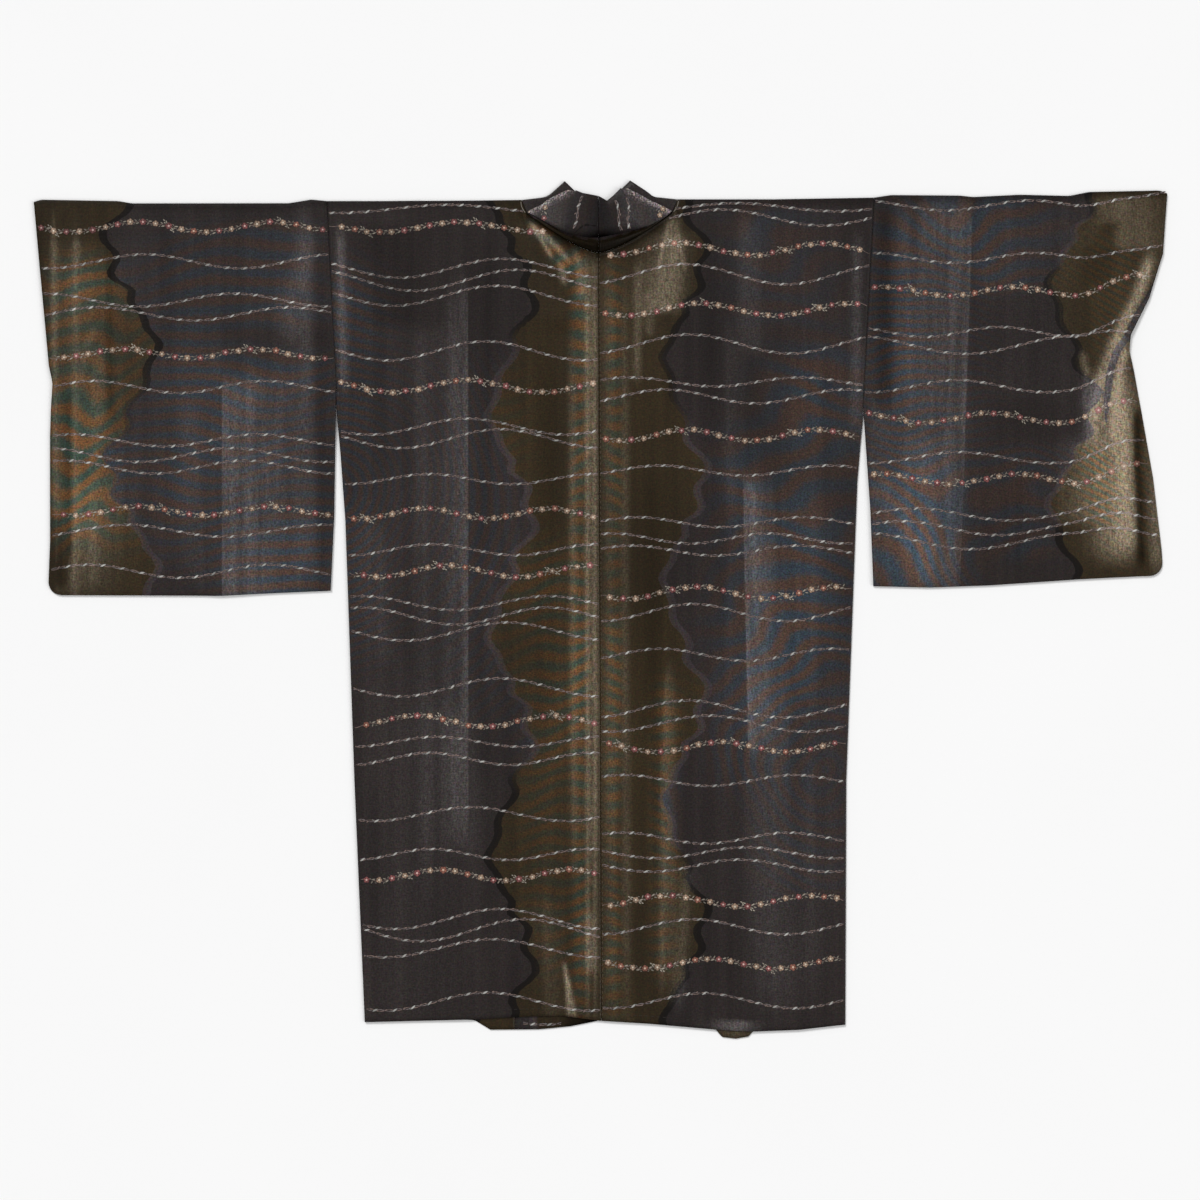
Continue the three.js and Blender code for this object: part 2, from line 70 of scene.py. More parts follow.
SIDES = {
    "left": {
        "sign": -1,
        "armpit_y": 262,
        "cuff_end_y": 265,
        "body_edge": [(475, 318), (262, 307), (104, 295.5), (-198, 285), (-479, 273)],
        "shoulder": [(91, 475.3), (200, 474), (318, 474)],
        "back_hem": [(0, -477.5), (45, -471.6), (98, -473), (150, -476), (273, -479)],
        "front_hem": [
            (0, -477), (35, -484), (70, -487.5), (128, -488), (146, -477), (180, -475), (273, -479),
        ],
        "shoulder_point": (91, 475.3),
        "neck_point": (85.5, 461),
        "crease_top": [(91, 475.3), (64.5, 478.5), (58, 482), (40.7, 497.5)],
        "turn_top": [(29, 486.2), (21, 483), (0, 479.5)],
        "flank_top": [(85.5, 462.5), (67, 471.5), (61, 477), (38, 488), (29, 486.2)],
        "turn_edge": [(85.5, 462.5), (49.5, 442.5), (35.5, 436), (13.5, 432), (0, 432)],
        "sleeve_arm": [(475, 318), (262, 307), (104, 309.5), (18, 313.5)],
        "sleeve_cuff": [
            (475, 658.5), (395, 651.5), (283, 641), (263, 636.5), (203, 638.5), (80, 638.5), (18, 641),
        ],
        "sleeve_top": [
            (318, 474), (336, 475.8), (362, 471.5), (545, 471.3), (560, 474), (650, 475.6), (658.5, 473),
        ],
        "sleeve_bottom": [(313.5, 23.5), (450, 17.7), (610, 18.3), (641, 18.3)],
    },
    "right": {
        "sign": 1,
        "armpit_y": 237,
        "cuff_end_y": 306,
        "body_edge": [(479, 318), (237, 305), (150, 297.5), (-198, 284.5), (-482, 283.5)],
        "shoulder": [(89, 476), (200, 476), (318, 478)],
        "back_hem": [(0, -477.5), (58, -481), (137, -488), (176, -490), (230, -488), (283.5, -482)],
        "front_hem": [
            (0, -472), (100, -478), (132, -485), (141, -496.5), (157, -498.5), (172, -496), (182, -485),
            (230, -484), (283.5, -482),
        ],
        "shoulder_point": (89, 476),
        "neck_point": (83, 462),
        "crease_top": [(89, 476), (61, 479), (54, 485), (33.7, 498.3)],
        "turn_top": [(24, 489), (14.5, 479.5), (7.6, 474), (0, 479.5)],
        "flank_top": [(83, 463.5), (57.5, 476), (30, 490.5), (24, 489)],
        "turn_edge": [
            (83, 463.5), (77, 457.6), (57.5, 446.6), (40, 441.3), (26, 437.3), (10.5, 434.4), (0, 432),
        ],
        "sleeve_arm": [(479, 318), (237, 305), (116, 313.5), (27, 317)],
        "sleeve_cuff": [
            (484, 658.5), (412, 653.5), (360, 637.5), (318, 616), (300, 614), (231, 627), (151, 641),
            (66, 651), (38, 653),
        ],
        "sleeve_top": [
            (318, 478), (338, 481), (418, 480.4), (433, 478.7), (488, 481.4), (545, 480), (568, 484.6),
            (650, 486.3), (658.5, 483),
        ],
        "sleeve_bottom": [
            (317, 28.8), (383, 27.2), (453, 29.8), (557, 36.8), (627, 40.3), (653, 41),
        ],
    },
}

SEAM_TOP_X = -2.5  # the centre back seam leans from here at the neck
SEAM_HEM_X = 1.2  # to here at the hem
SEAM_DEPTH = 0.35
SEAM_HALF_WIDTH = 2.2
HEM_Y = -478
BODY_LENGTH = 962  # of the front edge, from the shoulder point to the hem
STRIP_LENGTH = 960  # about, of the collar along it
NECK_LOW_Y = 414.5
NECK_CURVE = 1.45  # the neckline rises from the centre back by this power
NECK_LIFT = 3.3  # height of the neckline over the back about it
NECK_LIFT_WIDTH = 40  # it rises over this width from the neck point
NECK_LIFT_REACH = 26  # and falls over this distance below the neckline
STAND_DIP = 7  # the stand falls from the neckline over this distance
STRIP_HEM_X = 99.5  # the collar's strip at the hem, from here
STRIP_INNER_X = 3.5  # to here
BACK_SPLIT_X = 91  # where the back's column under the shoulder point meets the hem
NECK_COLUMN_SHARE = 1 / 6  # the neck point's column meets it this far on, towards the seam
TURN_STEP = 2.2  # from the stand up to the turned-down part, along their common fold
FLANK_STEP = 1.6  # the same at the turned-down part's free sides
TURN_LIFT = 4.8  # its edge stands this much higher at the centre back
TURN_LIFT_REACH = 45  # and comes down over this distance to the neck point

# ---- Folds ----
# Ridges and pressed creases of the upper layer, in mm. Each runs from (x0, top) down to (x1, foot), with a
# half-width away from the centre line (far) and towards it (near). A minus height is a trough.

FOLDS = {
    "left": [
        # x0, x1, top, foot, far, near, height
        (322, 300, 440, 200, 16, 24, 1.4),
        (212, 205, 470, -300, 30, 34, 1.2),
        (156, 153, 400, -430, 36, 9, 2.6),
        (100, 96, 380, -350, 26, 26, 1.1),
        (64, 46, 440, 330, 20, 20, 2.2),
        (26, 24, 390, -440, 24, 14, 2.4),
        (442, 440, 300, 20, 12, 36, 2.3),
        (520, 512, 440, 80, 30, 26, 1.3),
        (604, 606, 440, 60, 18, 22, 2.0),
        (80, 58, 458, 385, 5, 5, 0.9),
        (74, 36, 452, 400, 4, 4, 0.7),
        (290, 286, 430, 250, 10, 8, 0.8),
        (262, 250, 120, -420, 16, 12, 0.7),
        (180, 176, 60, -400, 12, 10, 0.6),
        (128, 118, 330, -60, 10, 12, 0.5),
        (372, 378, 440, 60, 14, 10, 0.7),
        (556, 560, 300, 40, 8, 10, 0.7),
        (632, 630, 400, 120, 6, 8, 0.8),
    ],
    "right": [
        (18, 20, 380, -420, 18, 14, 1.8),
        (82, 88, 440, 260, 26, 26, 2.4),
        (94, 88, -100, -440, 22, 22, 1.4),
        (168, 182, 440, 140, 30, 20, 1.7),
        (176, 172, 120, -450, 36, 12, 2.9),
        (250, 246, 200, -420, 24, 30, 1.4),
        (346, 336, 450, 260, 18, 18, 1.2),
        (418, 414, 440, 60, 10, 38, 2.2),
        (500, 510, 420, 60, 34, 28, 1.2),
        (630, 580, 430, 200, 18, 24, 2.6),
        (578, 618, 190, 70, 20, 24, 2.6),
        (78, 76, 455, 380, 5, 5, 0.9),
        (88, 100, 455, 340, 7, 6, 0.6),
        (128, 120, 420, 120, 12, 10, 0.6),
        (214, 204, 340, -120, 12, 14, 0.6),
        (270, 262, 420, 120, 10, 12, 0.7),
        (225, 232, -60, -470, 14, 12, 0.7),
        (376, 372, 420, 120, 12, 12, 0.6),
        (548, 540, 460, 300, 10, 12, 0.8),
        (600, 588, 470, 380, 8, 8, 0.8),
    ],
}

# Painted highlight where threads catch more light, and painted shade where they lie in shade (minus): the
# same columns, with a strength in place of a height.
PAINTED_SHEEN = {
    "body_left": [
        (208, 204, 330, -300, 8, 8, 0.22),
        (303, 300, 440, 262, 4, 6, 0.9),
        (12, 11, 400, -310, 8, 9, 0.42),
        (13, 12, -350, -420, 7, 7, 0.6),
        (16, 15, 380, -450, 2.4, 2.4, 0.6),
        (7, 6, 380, -450, 2.4, 2.4, 0.5),
        (33, 30, 300, -280, 5, 5, 0.35),
        (250, 236, 445, 330, 40, 46, -0.42),
        (60, 60, 300, -120, 14, 14, -0.25),
        (64, 56, -340, -480, 10, 12, 0.15),
        (172, 162, -110, -280, 30, 24, 0.2),
        (226, 222, -70, -480, 64, 64, 0.1),
        (132, 130, 420, 60, 12, 12, -0.2),
        (262, 250, 100, -60, 12, 12, 0.18),
    ],
    "body_right": [
        (9, 12, 400, -440, 6, 7, 0.18),
        (28, 30, 340, -440, 5, 5, 0.25),
        (84, 86, 456, 404, 7, 8, 0.6),
        (86, 76, 436, 350, 16, 26, 0.55),
        (82, 72, 400, 346, 18, 28, 0.3),
        (44, 42, 400, 270, 5, 5, 0.4),
        (60, 57, 370, 320, 5, 7, 0.3),
        (300, 296, 430, 210, 5, 8, 0.5),
        (60, 60, 150, -150, 16, 16, -0.25),
        (78, 72, -70, -430, 5, 5, 0.35),
        (100, 92, -300, -460, 7, 7, 0.35),
        (172, 176, 450, 300, 12, 14, 0.3),
        (150, 150, 330, 120, 8, 8, 0.2),
        (192, 198, -80, -460, 26, 22, 0.3),
        (250, 246, 150, -440, 20, 24, 0.15),
        (156, 156, -478, -504, 22, 22, 1.1),
        (128, 126, 420, 100, 14, 12, -0.15),
    ],
    "sleeve_left": [
        (652, 640, 460, 30, 8, 6, -0.3),
        (636, 632, 460, 40, 3, 4, 0.5),
        (618, 616, 250, 60, 6, 5, -0.55),
        (632, 628, 110, 30, 7, 7, -0.5),
        (609, 612, 440, 20, 4, 5, 0.6),
        (584, 590, 300, 40, 7, 8, 0.35),
        (571, 569, 430, 225, 3.5, 3.5, -0.5),
        (600, 600, 480, 430, 50, 50, -0.25),
        (345, 342, 460, 60, 10, 10, 0.35),
        (326, 322, 460, 40, 7, 9, -0.3),
        (480, 470, 240, 30, 10, 12, 0.25),
        (506, 506, 460, 300, 8, 8, -0.2),
        (604, 602, 400, 40, 44, 44, 0.14),
        (596, 600, 150, 20, 26, 30, 0.24),
    ],
    "sleeve_right": [
        (606, 612, 480, 420, 40, 34, 0.4),
        (592, 575, 450, 380, 14, 12, -0.35),
        (594, 601, 266, 64, 24, 24, 1.24),
        (604, 600, 316, 250, 10, 11, 0.8),
        (566, 562, 200, 104, 16, 24, 0.42),
        (606, 614, 240, 76, 10, 12, 0.8),
        (644, 646, 210, 50, 6, 6, 0.7),
        (368, 364, 150, 20, 44, 34, 0.14),
        (376, 376, 200, 148, 26, 22, 0.3),
        (520, 515, 460, 240, 40, 60, 0.08),
        (330, 330, 470, 240, 9, 10, -0.6),
        (322, 322, 240, 40, 8, 8, 0.2),
        (482, 476, 240, 60, 30, 34, -0.2),
    ],
}

# Painted highlight and shade along bent creases: points from one end to the other, half-width and strength.
BENT_PAINTED_SHEEN = {
    "body_left": [
        ([(82, 449), (68, 430), (56, 409)], 2.6, 1.4),
        ([(80, 449), (64, 432), (50, 418)], 2.2, 0.9),
        ([(80, 447), (56, 428), (34, 402)], 2.8, 1.4),
        ([(47, 405), (41, 378)], 4.0, 0.8),
        ([(30, 418), (24, 396), (22, 360)], 5.0, 0.7),
        ([(42, -410), (38, -436), (37, -474)], 2.6, 1.2),
        ([(40, -424), (34, -450), (30, -476)], 3.0, 1.0),
    ],
    "body_right": [
        ([(84, 452), (93, 425), (98, 395)], 2.0, 0.7),
        ([(80, 450), (74, 425), (66, 395)], 2.2, 0.7),
        ([(172, 150), (178, 128), (176, 96)], 3.0, 0.6),
    ],
    "sleeve_left": [
        ([(586, 330), (600, 300), (604, 262)], 4.0, 0.35),
        ([(338, 436), (345, 400), (362, 358), (358, 306)], 13, 0.3),
    ],
    "sleeve_right": [
        ([(640, 412), (622, 360), (604, 325), (590, 290), (580, 262), (573, 240), (569, 190)], 6.5, 1.7),
        ([(610, 306), (602, 273), (599, 244), (595, 196)], 4.0, 1.5),
        ([(624, 232), (624, 174), (627, 127), (627.5, 81), (630, 44)], 4.5, -1.15),
        ([(560, 300), (566, 268), (562, 230)], 4.0, 0.6),
        ([(326, 152), (348, 112), (368, 66), (376, 26)], 15, 0.42),
    ],
}
# Where a fold of the cuff turns a strip of the aubergine ground up: the same columns without the strength.
TURNED_UP = {
    "sleeve_right": (
        [(647, 377), (627, 348), (612, 318), (600, 301), (592, 278), (588, 243), (586, 190)],
        4.2,
    ),
}

# Painted highlight beside a crease left by folding the coat away: sharp on one side and fading on the
# other. "way" is 1 where the light side lies away from the centre line.
CREASES = {
    # x0, x1, top, foot, way, reach, strength
    "body_left": (153.5, 153, 372, -250, 1, 24, 0.7),
    "body_right": (165, 171, 150, -160, 1, 30, 0.95),
    "sleeve_left": (440, 440, 268, 12, -1, 70, 0.8),
    "sleeve_right": (433, 418, 470, 30, -1, 80, 0.55),
}

# Silk shot in two colours shows watery bands. On each ground they run across the cloth or ring a centre, with
# a spacing (mm) that changes with height or with distance, and slow waves bend them: amount in bands, length
# across, length down, shift. A swirl turns them upright below a height: that height, its reach, x, spacing.
WATER = {
    "body_left": {
        "aubergine": {
            "centre": (318, 140),
            "spacing": [(0, 10), (220, 12), (420, 24), (700, 30)],
            "waves": [(0.5, 190, 420, 0.4)],
        },
        "olive": {"across": 110, "spacing": [(480, 20), (-480, 17)], "waves": [(0.25, 80, 260, 0.0)]},
    },
    "body_right": {
        "aubergine": {
            "centre": (262, -185),
            "spacing": [(0, 16), (90, 16), (140, 22), (210, 30), (450, 34), (700, 40)],
            "waves": [(0.42, 210, 240, 4.1), (0.2, 120, 90, 0.9)],
        },
        "olive": {"across": 130, "spacing": [(480, 20), (-480, 16)], "waves": [(0.25, 80, 240, 1.0)]},
    },
    "sleeve_left": {
        "aubergine": {
            "across": 600,
            "spacing": [(480, 24), (330, 18), (200, 14.5), (20, 16)],
            "waves": [(0.5, 260, 420, 1.2), (0.22, 150, 190, 3.0)],
        },
        "olive": {
            "across": 300,
            "spacing": [(480, 17), (350, 24), (200, 29), (60, 22)],
            "waves": [(0.36, 95, 240, 0.58), (0.14, 60, 160, 1.0)],
        },
    },
    "sleeve_right": {
        "aubergine": {
            "across": 260,
            "spacing": [(480, 34), (410, 20), (370, 10), (190, 11), (140, 26), (20, 34)],
            "waves": [(0.8, 220, 330, 0.2), (0.3, 100, 180, 4.4)],
            "swirl": (150, 110, 318, 34),
        },
        "olive": {"across": 16, "spacing": [(480, 9), (20, 9)], "waves": [(0.3, 120, 160, 0.0)]},
    },
}
# Where those bands are strong: the columns of the folds, with a strength.
SHOT = {
    "body_left": [
        (296, 288, 400, -60, 30, 50, 0.5),
        (150, 140, 300, -130, 70, 50, 0.28),
        (26, 24, 440, -470, 9, 11, 1.05),
        (54, 50, 60, -420, 36, 24, 0.5),
        (76, 34, 452, 390, 12, 12, 1.2),
    ],
    "body_right": [
        (240, 234, 300, -120, 66, 56, 0.85),
        (160, 160, 200, -200, 50, 36, 0.4),
        (230, 230, -100, -330, 60, 50, 0.3),
        (190, 190, 470, 330, 80, 50, 0.3),
        (16, 14, 400, -470, 10, 10, 0.6),
        (76, 74, -90, -420, 14, 14, 0.62),
    ],
    "sleeve_left": [
        (604, 604, 400, 80, 40, 54, 1.35),
        (376, 376, 290, 10, 74, 70, 0.95),
        (380, 380, 450, 330, 80, 60, 0.45),
        (490, 480, 430, 60, 40, 60, 0.5),
    ],
    "sleeve_right": [
        (366, 360, 470, 30, 62, 50, 0.95),
        (344, 350, 160, 0, 50, 50, 0.95),
        (450, 440, 480, 370, 90, 50, 0.5),
        (574, 586, 190, 100, 18, 26, 0.85),
        (600, 600, 440, 60, 60, 30, 0.3),
        (500, 490, 190, 60, 40, 50, 0.35),
    ],
}

# ---- Woven figure ----
# A wavy edge parts the aubergine ground from the olive. One repeat of it, charted in mm along the
# cloth and across it.

EDGE_CHART = [
    (0, 26), (7, 23), (15, 15.5), (24, 13), (33, 16.5), (42, 19), (51, 12), (58, 0), (66, -1), (75, 0),
    (83, -7), (94, -13), (105, -15.5), (115, -23), (124, -27.5), (133, -24.5), (145, -17.5), (157, -15),
    (168, -15.5), (180, -10), (191, 0), (203, 4.5), (215, 0), (227, 5), (239, 19), (249, 26.5), (256.5, 26),
]
EDGE_REPEAT = 256.5
EDGE_PLACES = {
    # where it runs, its swing, where a repeat starts, and 1 where it runs down the cloth
    "body_left": (103, -1.05, -413, -1),
    "body_right": (99, 1.0, 418, 1),
    "sleeve_left": (546, 1.22, 432, 1),
    "sleeve_right": (551, 1.18, 248, 1),
}
# Strength of the dark band along that edge, down the cloth.
BAND = {
    "body_left": [(480, 1), (340, 1), (300, 0.05), (-170, 0.05), (-215, 1), (-490, 1)],
    "body_right": [(480, 1), (330, 0.9), (240, 0.5), (200, 0.05), (-270, 0.05), (-305, 1), (-490, 1)],
    "sleeve_left": [(480, 1), (290, 1), (240, 0.4), (170, 0.25), (130, 0.05), (20, 0.05)],
    "sleeve_right": [
        (480, 1), (462, 0.9), (454, 0.1), (405, 0.1), (385, 0.9), (262, 1), (250, 0.05), (105, 0.05), (92, 1),
    ],
}

# Garlands that cross each piece: kind, height, half its rise, wave length, and where it hangs lowest.
GARLANDS = {
    "body_left": [
        ("vine", 466, 4.7, 256, 305),
        ("flowers", 445, 5.8, 186, 256),
        ("vine", 397, 11.0, 238, 233),
        ("vine", 383, 12.2, 238, 216),
        ("vine", 365, 11.6, 238, 240),
        ("vine", 301, 11.0, 227, 247),
        ("flowers", 260, 7.0, 174, 242),
        ("vine", 213, 9.3, 227, 268),
        ("vine", 199, 11.0, 233, 233),
        ("vine", 152, 5.8, 192, 295),
        ("flowers", 112, 5.8, 145, 277),
        ("vine", 70, 6.4, 192, 291),
        ("flowers", 45, 6.4, 163, 259),
        ("vine", 8, 8.1, 215, 169),
        ("vine", -7, 9.9, 215, 169),
        ("vine", -25, 10.5, 238, 227),
        ("vine", -90, 10.5, 233, 233),
        ("flowers", -129, 6.4, 157, 291),
        ("vine", -153, 5.8, 192, 286),
        ("vine", -173, 7.0, 186, 291),
        ("vine", -237, 8.1, 221, 262),
        ("vine", -284, 6.4, 180, 286),
        ("flowers", -308, 6.4, 151, 262),
        ("vine", -359, 11.6, 244, 239),
        ("vine", -372, 12.8, 244, 210),
        ("vine", -393, 10.5, 250, 251),
        ("vine", -455, 10.5, 238, 251),
    ],
    "body_right": [
        ("vine", 468, 4.7, 233, 274),
        ("vine", 456, 9.3, 233, 258),
        ("flowers", 419, 7.0, 163, 176),
        ("vine", 390, 11.6, 233, 215),
        ("flowers", 349, 7.0, 174, 203),
        ("vine", 309, 11.0, 233, 220),
        ("vine", 265, 5.2, 198, 133),
        ("vine", 248, 8.1, 209, 180),
        ("flowers", 203, 6.4, 151, 176),
        ("vine", 162, 5.8, 198, 168),
        ("vine", 102, 5.8, 192, 139),
        ("vine", 83, 5.8, 180, 104),
        ("vine", 69, 5.8, 192, 133),
        ("flowers", 20, 7.0, 163, 192),
        ("vine", -3, 9.9, 215, 215),
        ("vine", -52, 7.0, 198, 169),
        ("vine", -115, 9.9, 221, 212),
        ("vine", -132, 9.3, 227, 239),
        ("flowers", -159, 5.8, 151, 217),
        ("vine", -198, 6.4, 198, 126),
        ("vine", -265, 6.4, 192, 122),
        ("vine", -282, 6.4, 209, 66),
        ("vine", -297, 7.0, 209, 58),
        ("flowers", -338, 6.4, 169, 162),
        ("vine", -368, 8.7, 215, 215),
        ("flowers", -411, 5.8, 151, 203),
        ("vine", -454, 8.7, 215, 226),
    ],
    "sleeve_left": [
        ("flowers", 445, 5.8, 157, 615),
        ("vine", 405, 8.1, 221, 419),
        ("vine", 360, 7.6, 221, 536),
        ("vine", 344, 7.6, 221, 472),
        ("flowers", 298, 5.2, 151, 477),
        ("vine", 259, 7.0, 198, 489),
        ("vine", 197, 7.0, 215, 506),
        ("vine", 180, 8.1, 215, 536),
        ("vine", 166, 7.6, 209, 518),
        ("flowers", 115, 5.2, 151, 460),
        ("vine", 92, 7.0, 227, 437),
        ("vine", 45, 7.6, 209, 489),
    ],
    "sleeve_right": [
        ("vine", 470, 5.8, 198, 401),
        ("vine", 409, 5.8, 192, 409),
        ("flowers", 370, 5.2, 151, 406),
        ("vine", 323, 5.8, 174, 377),
        ("vine", 308, 10.5, 256, 424),
        ("vine", 260, 7.0, 204, 313),
        ("flowers", 223, 5.8, 151, 377),
        ("vine", 177, 6.4, 209, 313),
        ("flowers", 152, 5.8, 157, 406),
        ("vine", 111, 7.0, 221, 476),
        ("vine", 95, 8.1, 221, 461),
        ("vine", 80, 9.3, 244, 430),
    ],
}
# The turned-down collar is cut along the cloth, so its vines run from the fold to the free edge.
COLLAR_VINES = {
    # x and y at the fold, x and y at the free edge
    "left": [(20, 482, 33, 440)],
    "right": [(16.5, 477, 25.5, 438), (30, 480, 34.5, 440)],
}
RISE_TO_CUFF = 14  # the right sleeve's garlands climb this much past the ground's edge
RISE_X = 545  # from here
RISE_REACH = 70  # over this distance

FLOWER_STEP = 14.6
FLOWER_RADIUS = 3.8
STEM_WIDTH = 0.7
STEM_CELL = 1.6  # between points along the stem
SPRAY_EVERY = 9  # flowers from one spray of leaves to the next
WHOLE_TURN = 6.3  # about, for the turn of a flower
DASH_STEP = 21.0  # from one pale leaf of a vine to the next
TWIST = 10.5  # length of one turn of a vine's two threads
VINE_WIDTH = 1.0  # of each of them
VINE_CELL = 1.3  # between points along them
LEAF_SIZE = (7.2, 2.1)  # length and width
LEAFLET_SIZE = (3.4, 1.2)
RAISED = 0.2  # woven figures stand this far over the cloth's face
UNDER_RAISED = 0.05  # the same on the side that rests on the ground
UNDER_LIFT = -0.4  # share of a figure's own relief there, downwards
UNDER_ROW_SHIFT = -9.0  # the under layer's garlands run this far from the upper one's, towards the hem
LOWEST_UNDER_ROW = 45  # no garland under a sleeve for those below this height
FOLD_Y = 475  # the cloth runs over the shoulder here, from the back to the front
UNDER_SHIFT = 60  # the fronts' olive ground is wider than the back's

# ---- Tables and relief ----


def lerp(a, b, t):
    return a + (b - a) * t


def smooth(t):
    c = np.clip(t, 0.0, 1.0)
    return c * c * (3 - 2 * c)


def hill(t):
    """1 at zero, falling softly to nothing on both sides."""
    return np.exp(-(t * t))


def at(rows, key):
    """Value in a table of (key, value) rows, straight between them."""
    ordered = sorted(rows)
    return np.interp(key, [r[0] for r in ordered], [r[1] for r in ordered])


def points_along(rows, count):
    """Evenly spaced points of a line of (x, y) rows, by length."""
    line = np.array(rows, float)
    length = np.concatenate([[0], np.cumsum(np.hypot(*np.diff(line, axis=0).T))])
    marks = np.linspace(0, length[-1], count + 1)
    return np.stack([np.interp(marks, length, line[:, 0]), np.interp(marks, length, line[:, 1])], 1)


def strips(rows, x, y):
    """Sum of a table of ridges at the points."""
    total = np.zeros(np.broadcast(x, y).shape)
    for x0, x1, top, foot, far, near, height in rows:
        t = (top - y) / (top - foot)
        away = x - lerp(x0, x1, t)
        across = np.where(away > 0, away / far, away / near)
        fade = smooth(t / 0.2 + 0.5) * smooth((1 - t) / 0.2 + 0.5)
        total = total + height * hill(across) * fade
    return total


def neck_lift(side, x):
    return NECK_LIFT * smooth((side["neck_point"][0] - x) / NECK_LIFT_WIDTH)


def seam_x(side, y):
    """Centre back seam, on a side's own +X."""
    t = (NECK_LOW_Y - y) / (NECK_LOW_Y - HEM_Y)
    return side["sign"] * lerp(SEAM_TOP_X, SEAM_HEM_X, t) + SEAM_GAP / 2


def front_edge_x(side, y):
    x, top = side["shoulder_point"]
    return lerp(x, STRIP_HEM_X, (top - y) / BODY_LENGTH)


def neckline_y(side, x):
    centre = seam_x(side, NECK_LOW_Y)
    t = np.clip((x - centre) / (side["neck_point"][0] - centre), 0, None)
    return lerp(NECK_LOW_Y, side["neck_point"][1], t**NECK_CURVE)


def from_neckline(side, x, y):
    """Distance of a point of the back from the neckline, or from the neck point when it lies beside it."""
    neck_x = side["neck_point"][0]
    below = neckline_y(side, np.minimum(x, neck_x)) - y
    return np.hypot(below, np.maximum(0, x - neck_x))


def back_z(name, x, y):
    side = SIDES[name]
    lift = neck_lift(side, x) * hill(from_neckline(side, x, y) / NECK_LIFT_REACH)
    seam = SEAM_DEPTH * hill((x - seam_x(side, y)) / SEAM_HALF_WIDTH)
    return UPPER_Z + strips(FOLDS[name], x, y) + lift - seam


def sleeve_z(name, x, y):
    return UPPER_Z + strips(FOLDS[name], x, y)


# ---- Middle surfaces ----
# Each grid of points has a layer, and None where it only joins two of them.

UNDER, UPPER, STAND, TURNED = range(4)


def xyz(x, y, z):
    return np.stack(np.broadcast_arrays(np.asarray(x, float), y, z), -1)


def roll(upper, under, out):
    """Rows of points round a folded edge, from the upper layer's line of points to the under layer's."""
    radius = (upper[:, 2] - under[:, 2]) / 2
    rows = [upper]
    for k in range(1, ROLL_STEPS + 1):
        angle = math.pi * k / (ROLL_STEPS + 1)
        middle = lerp(upper, under, (1 - math.cos(angle)) / 2)
        rows.append(middle + out * (radius * math.sin(angle))[:, None])
    rows.append(under)
    return np.array(rows)


def facing(x, y):
    return np.array([x, y, 0.0])


def side_of(line, way):
    """Flat directions square to a line of points, for the outward bulge of a fold along it."""
    run = np.gradient(line[:, :2], axis=0)
    out = np.stack([run[:, 1], -run[:, 0], 0 * run[:, 0]], 1) * way
    return out / np.linalg.norm(out, axis=1)[:, None]


def steps(length, cell, kept=None):
    """Even shares of a length about a cell apart, with the nearest one moved to a share that is kept."""
    share = np.linspace(0, 1, max(2, round(length / cell)) + 1)
    if kept is not None:
        share[np.abs(share - kept).argmin()] = kept
    return share


def body_span(side):
    """Heights of the upper and the lower end of a body's side edge."""
    return side["body_edge"][0][0], side["body_edge"][-1][0]


def back_grid(name, v):
    side = SIDES[name]
    top, foot = body_span(side)
    outer = at(side["body_edge"], lerp(top, foot, v)) - SEAM_GAP / 2
    split = lerp(side["shoulder_point"][0] + SEAM_GAP, BACK_SPLIT_X, v)
    u = steps(BODY_WIDTH, CELL)[None, :]
    x = lerp(outer[:, None], split[:, None], u)
    y = lerp(at(side["shoulder"], x), at(side["back_hem"], x), v[:, None])
    u = steps(NECK_WIDTH, NECK_CELL)[None, :]
    top_x = lerp(side["neck_point"][0], seam_x(side, NECK_LOW_Y), u)
    hem_u = lerp(NECK_COLUMN_SHARE, 1, u)
    hem_x = lerp(BACK_SPLIT_X, seam_x(side, foot), hem_u)
    inner_x = lerp(top_x, hem_x, v[:, None])
    inner_y = lerp(neckline_y(side, top_x), at(side["back_hem"], hem_x), v[:, None])
    x, y = np.concatenate([x, inner_x], 1), np.concatenate([y, inner_y], 1)
    return xyz(x, y, back_z(name, x, y))


def front_grid(name, v):
    side = SIDES[name]
    top, foot = body_span(side)
    y = lerp(top, foot, v)
    outer = at(side["body_edge"], y) - SEAM_GAP / 2
    inner = front_edge_x(side, y) + SEAM_GAP
    inner[0] = side["shoulder_point"][0] + SEAM_GAP
    x = lerp(outer[:, None], inner[:, None], steps(BODY_WIDTH, CELL)[None, :])
    y = lerp(at(side["shoulder"], x), at(side["front_hem"], x), v[:, None])
    return xyz(x, y, UNDER_Z)


def body_grids(name):
    side = SIDES[name]
    top, foot = body_span(side)
    v = steps(top - foot, LONG_CELL, (top - side["armpit_y"]) / (top - foot))
    back = back_grid(name, v)
    front = front_grid(name, v)
    shoulder = roll(back[0, : front.shape[1]], front[0], facing(0, 1))
    sewn = back[:, 0, 1] < side["armpit_y"] - 5
    seam = roll(back[sewn, 0], front[sewn, 0], facing(1, 0))
    return [(back[:, ::-1], UPPER), (front, UNDER), (shoulder, None), (seam[:, ::-1], None)]


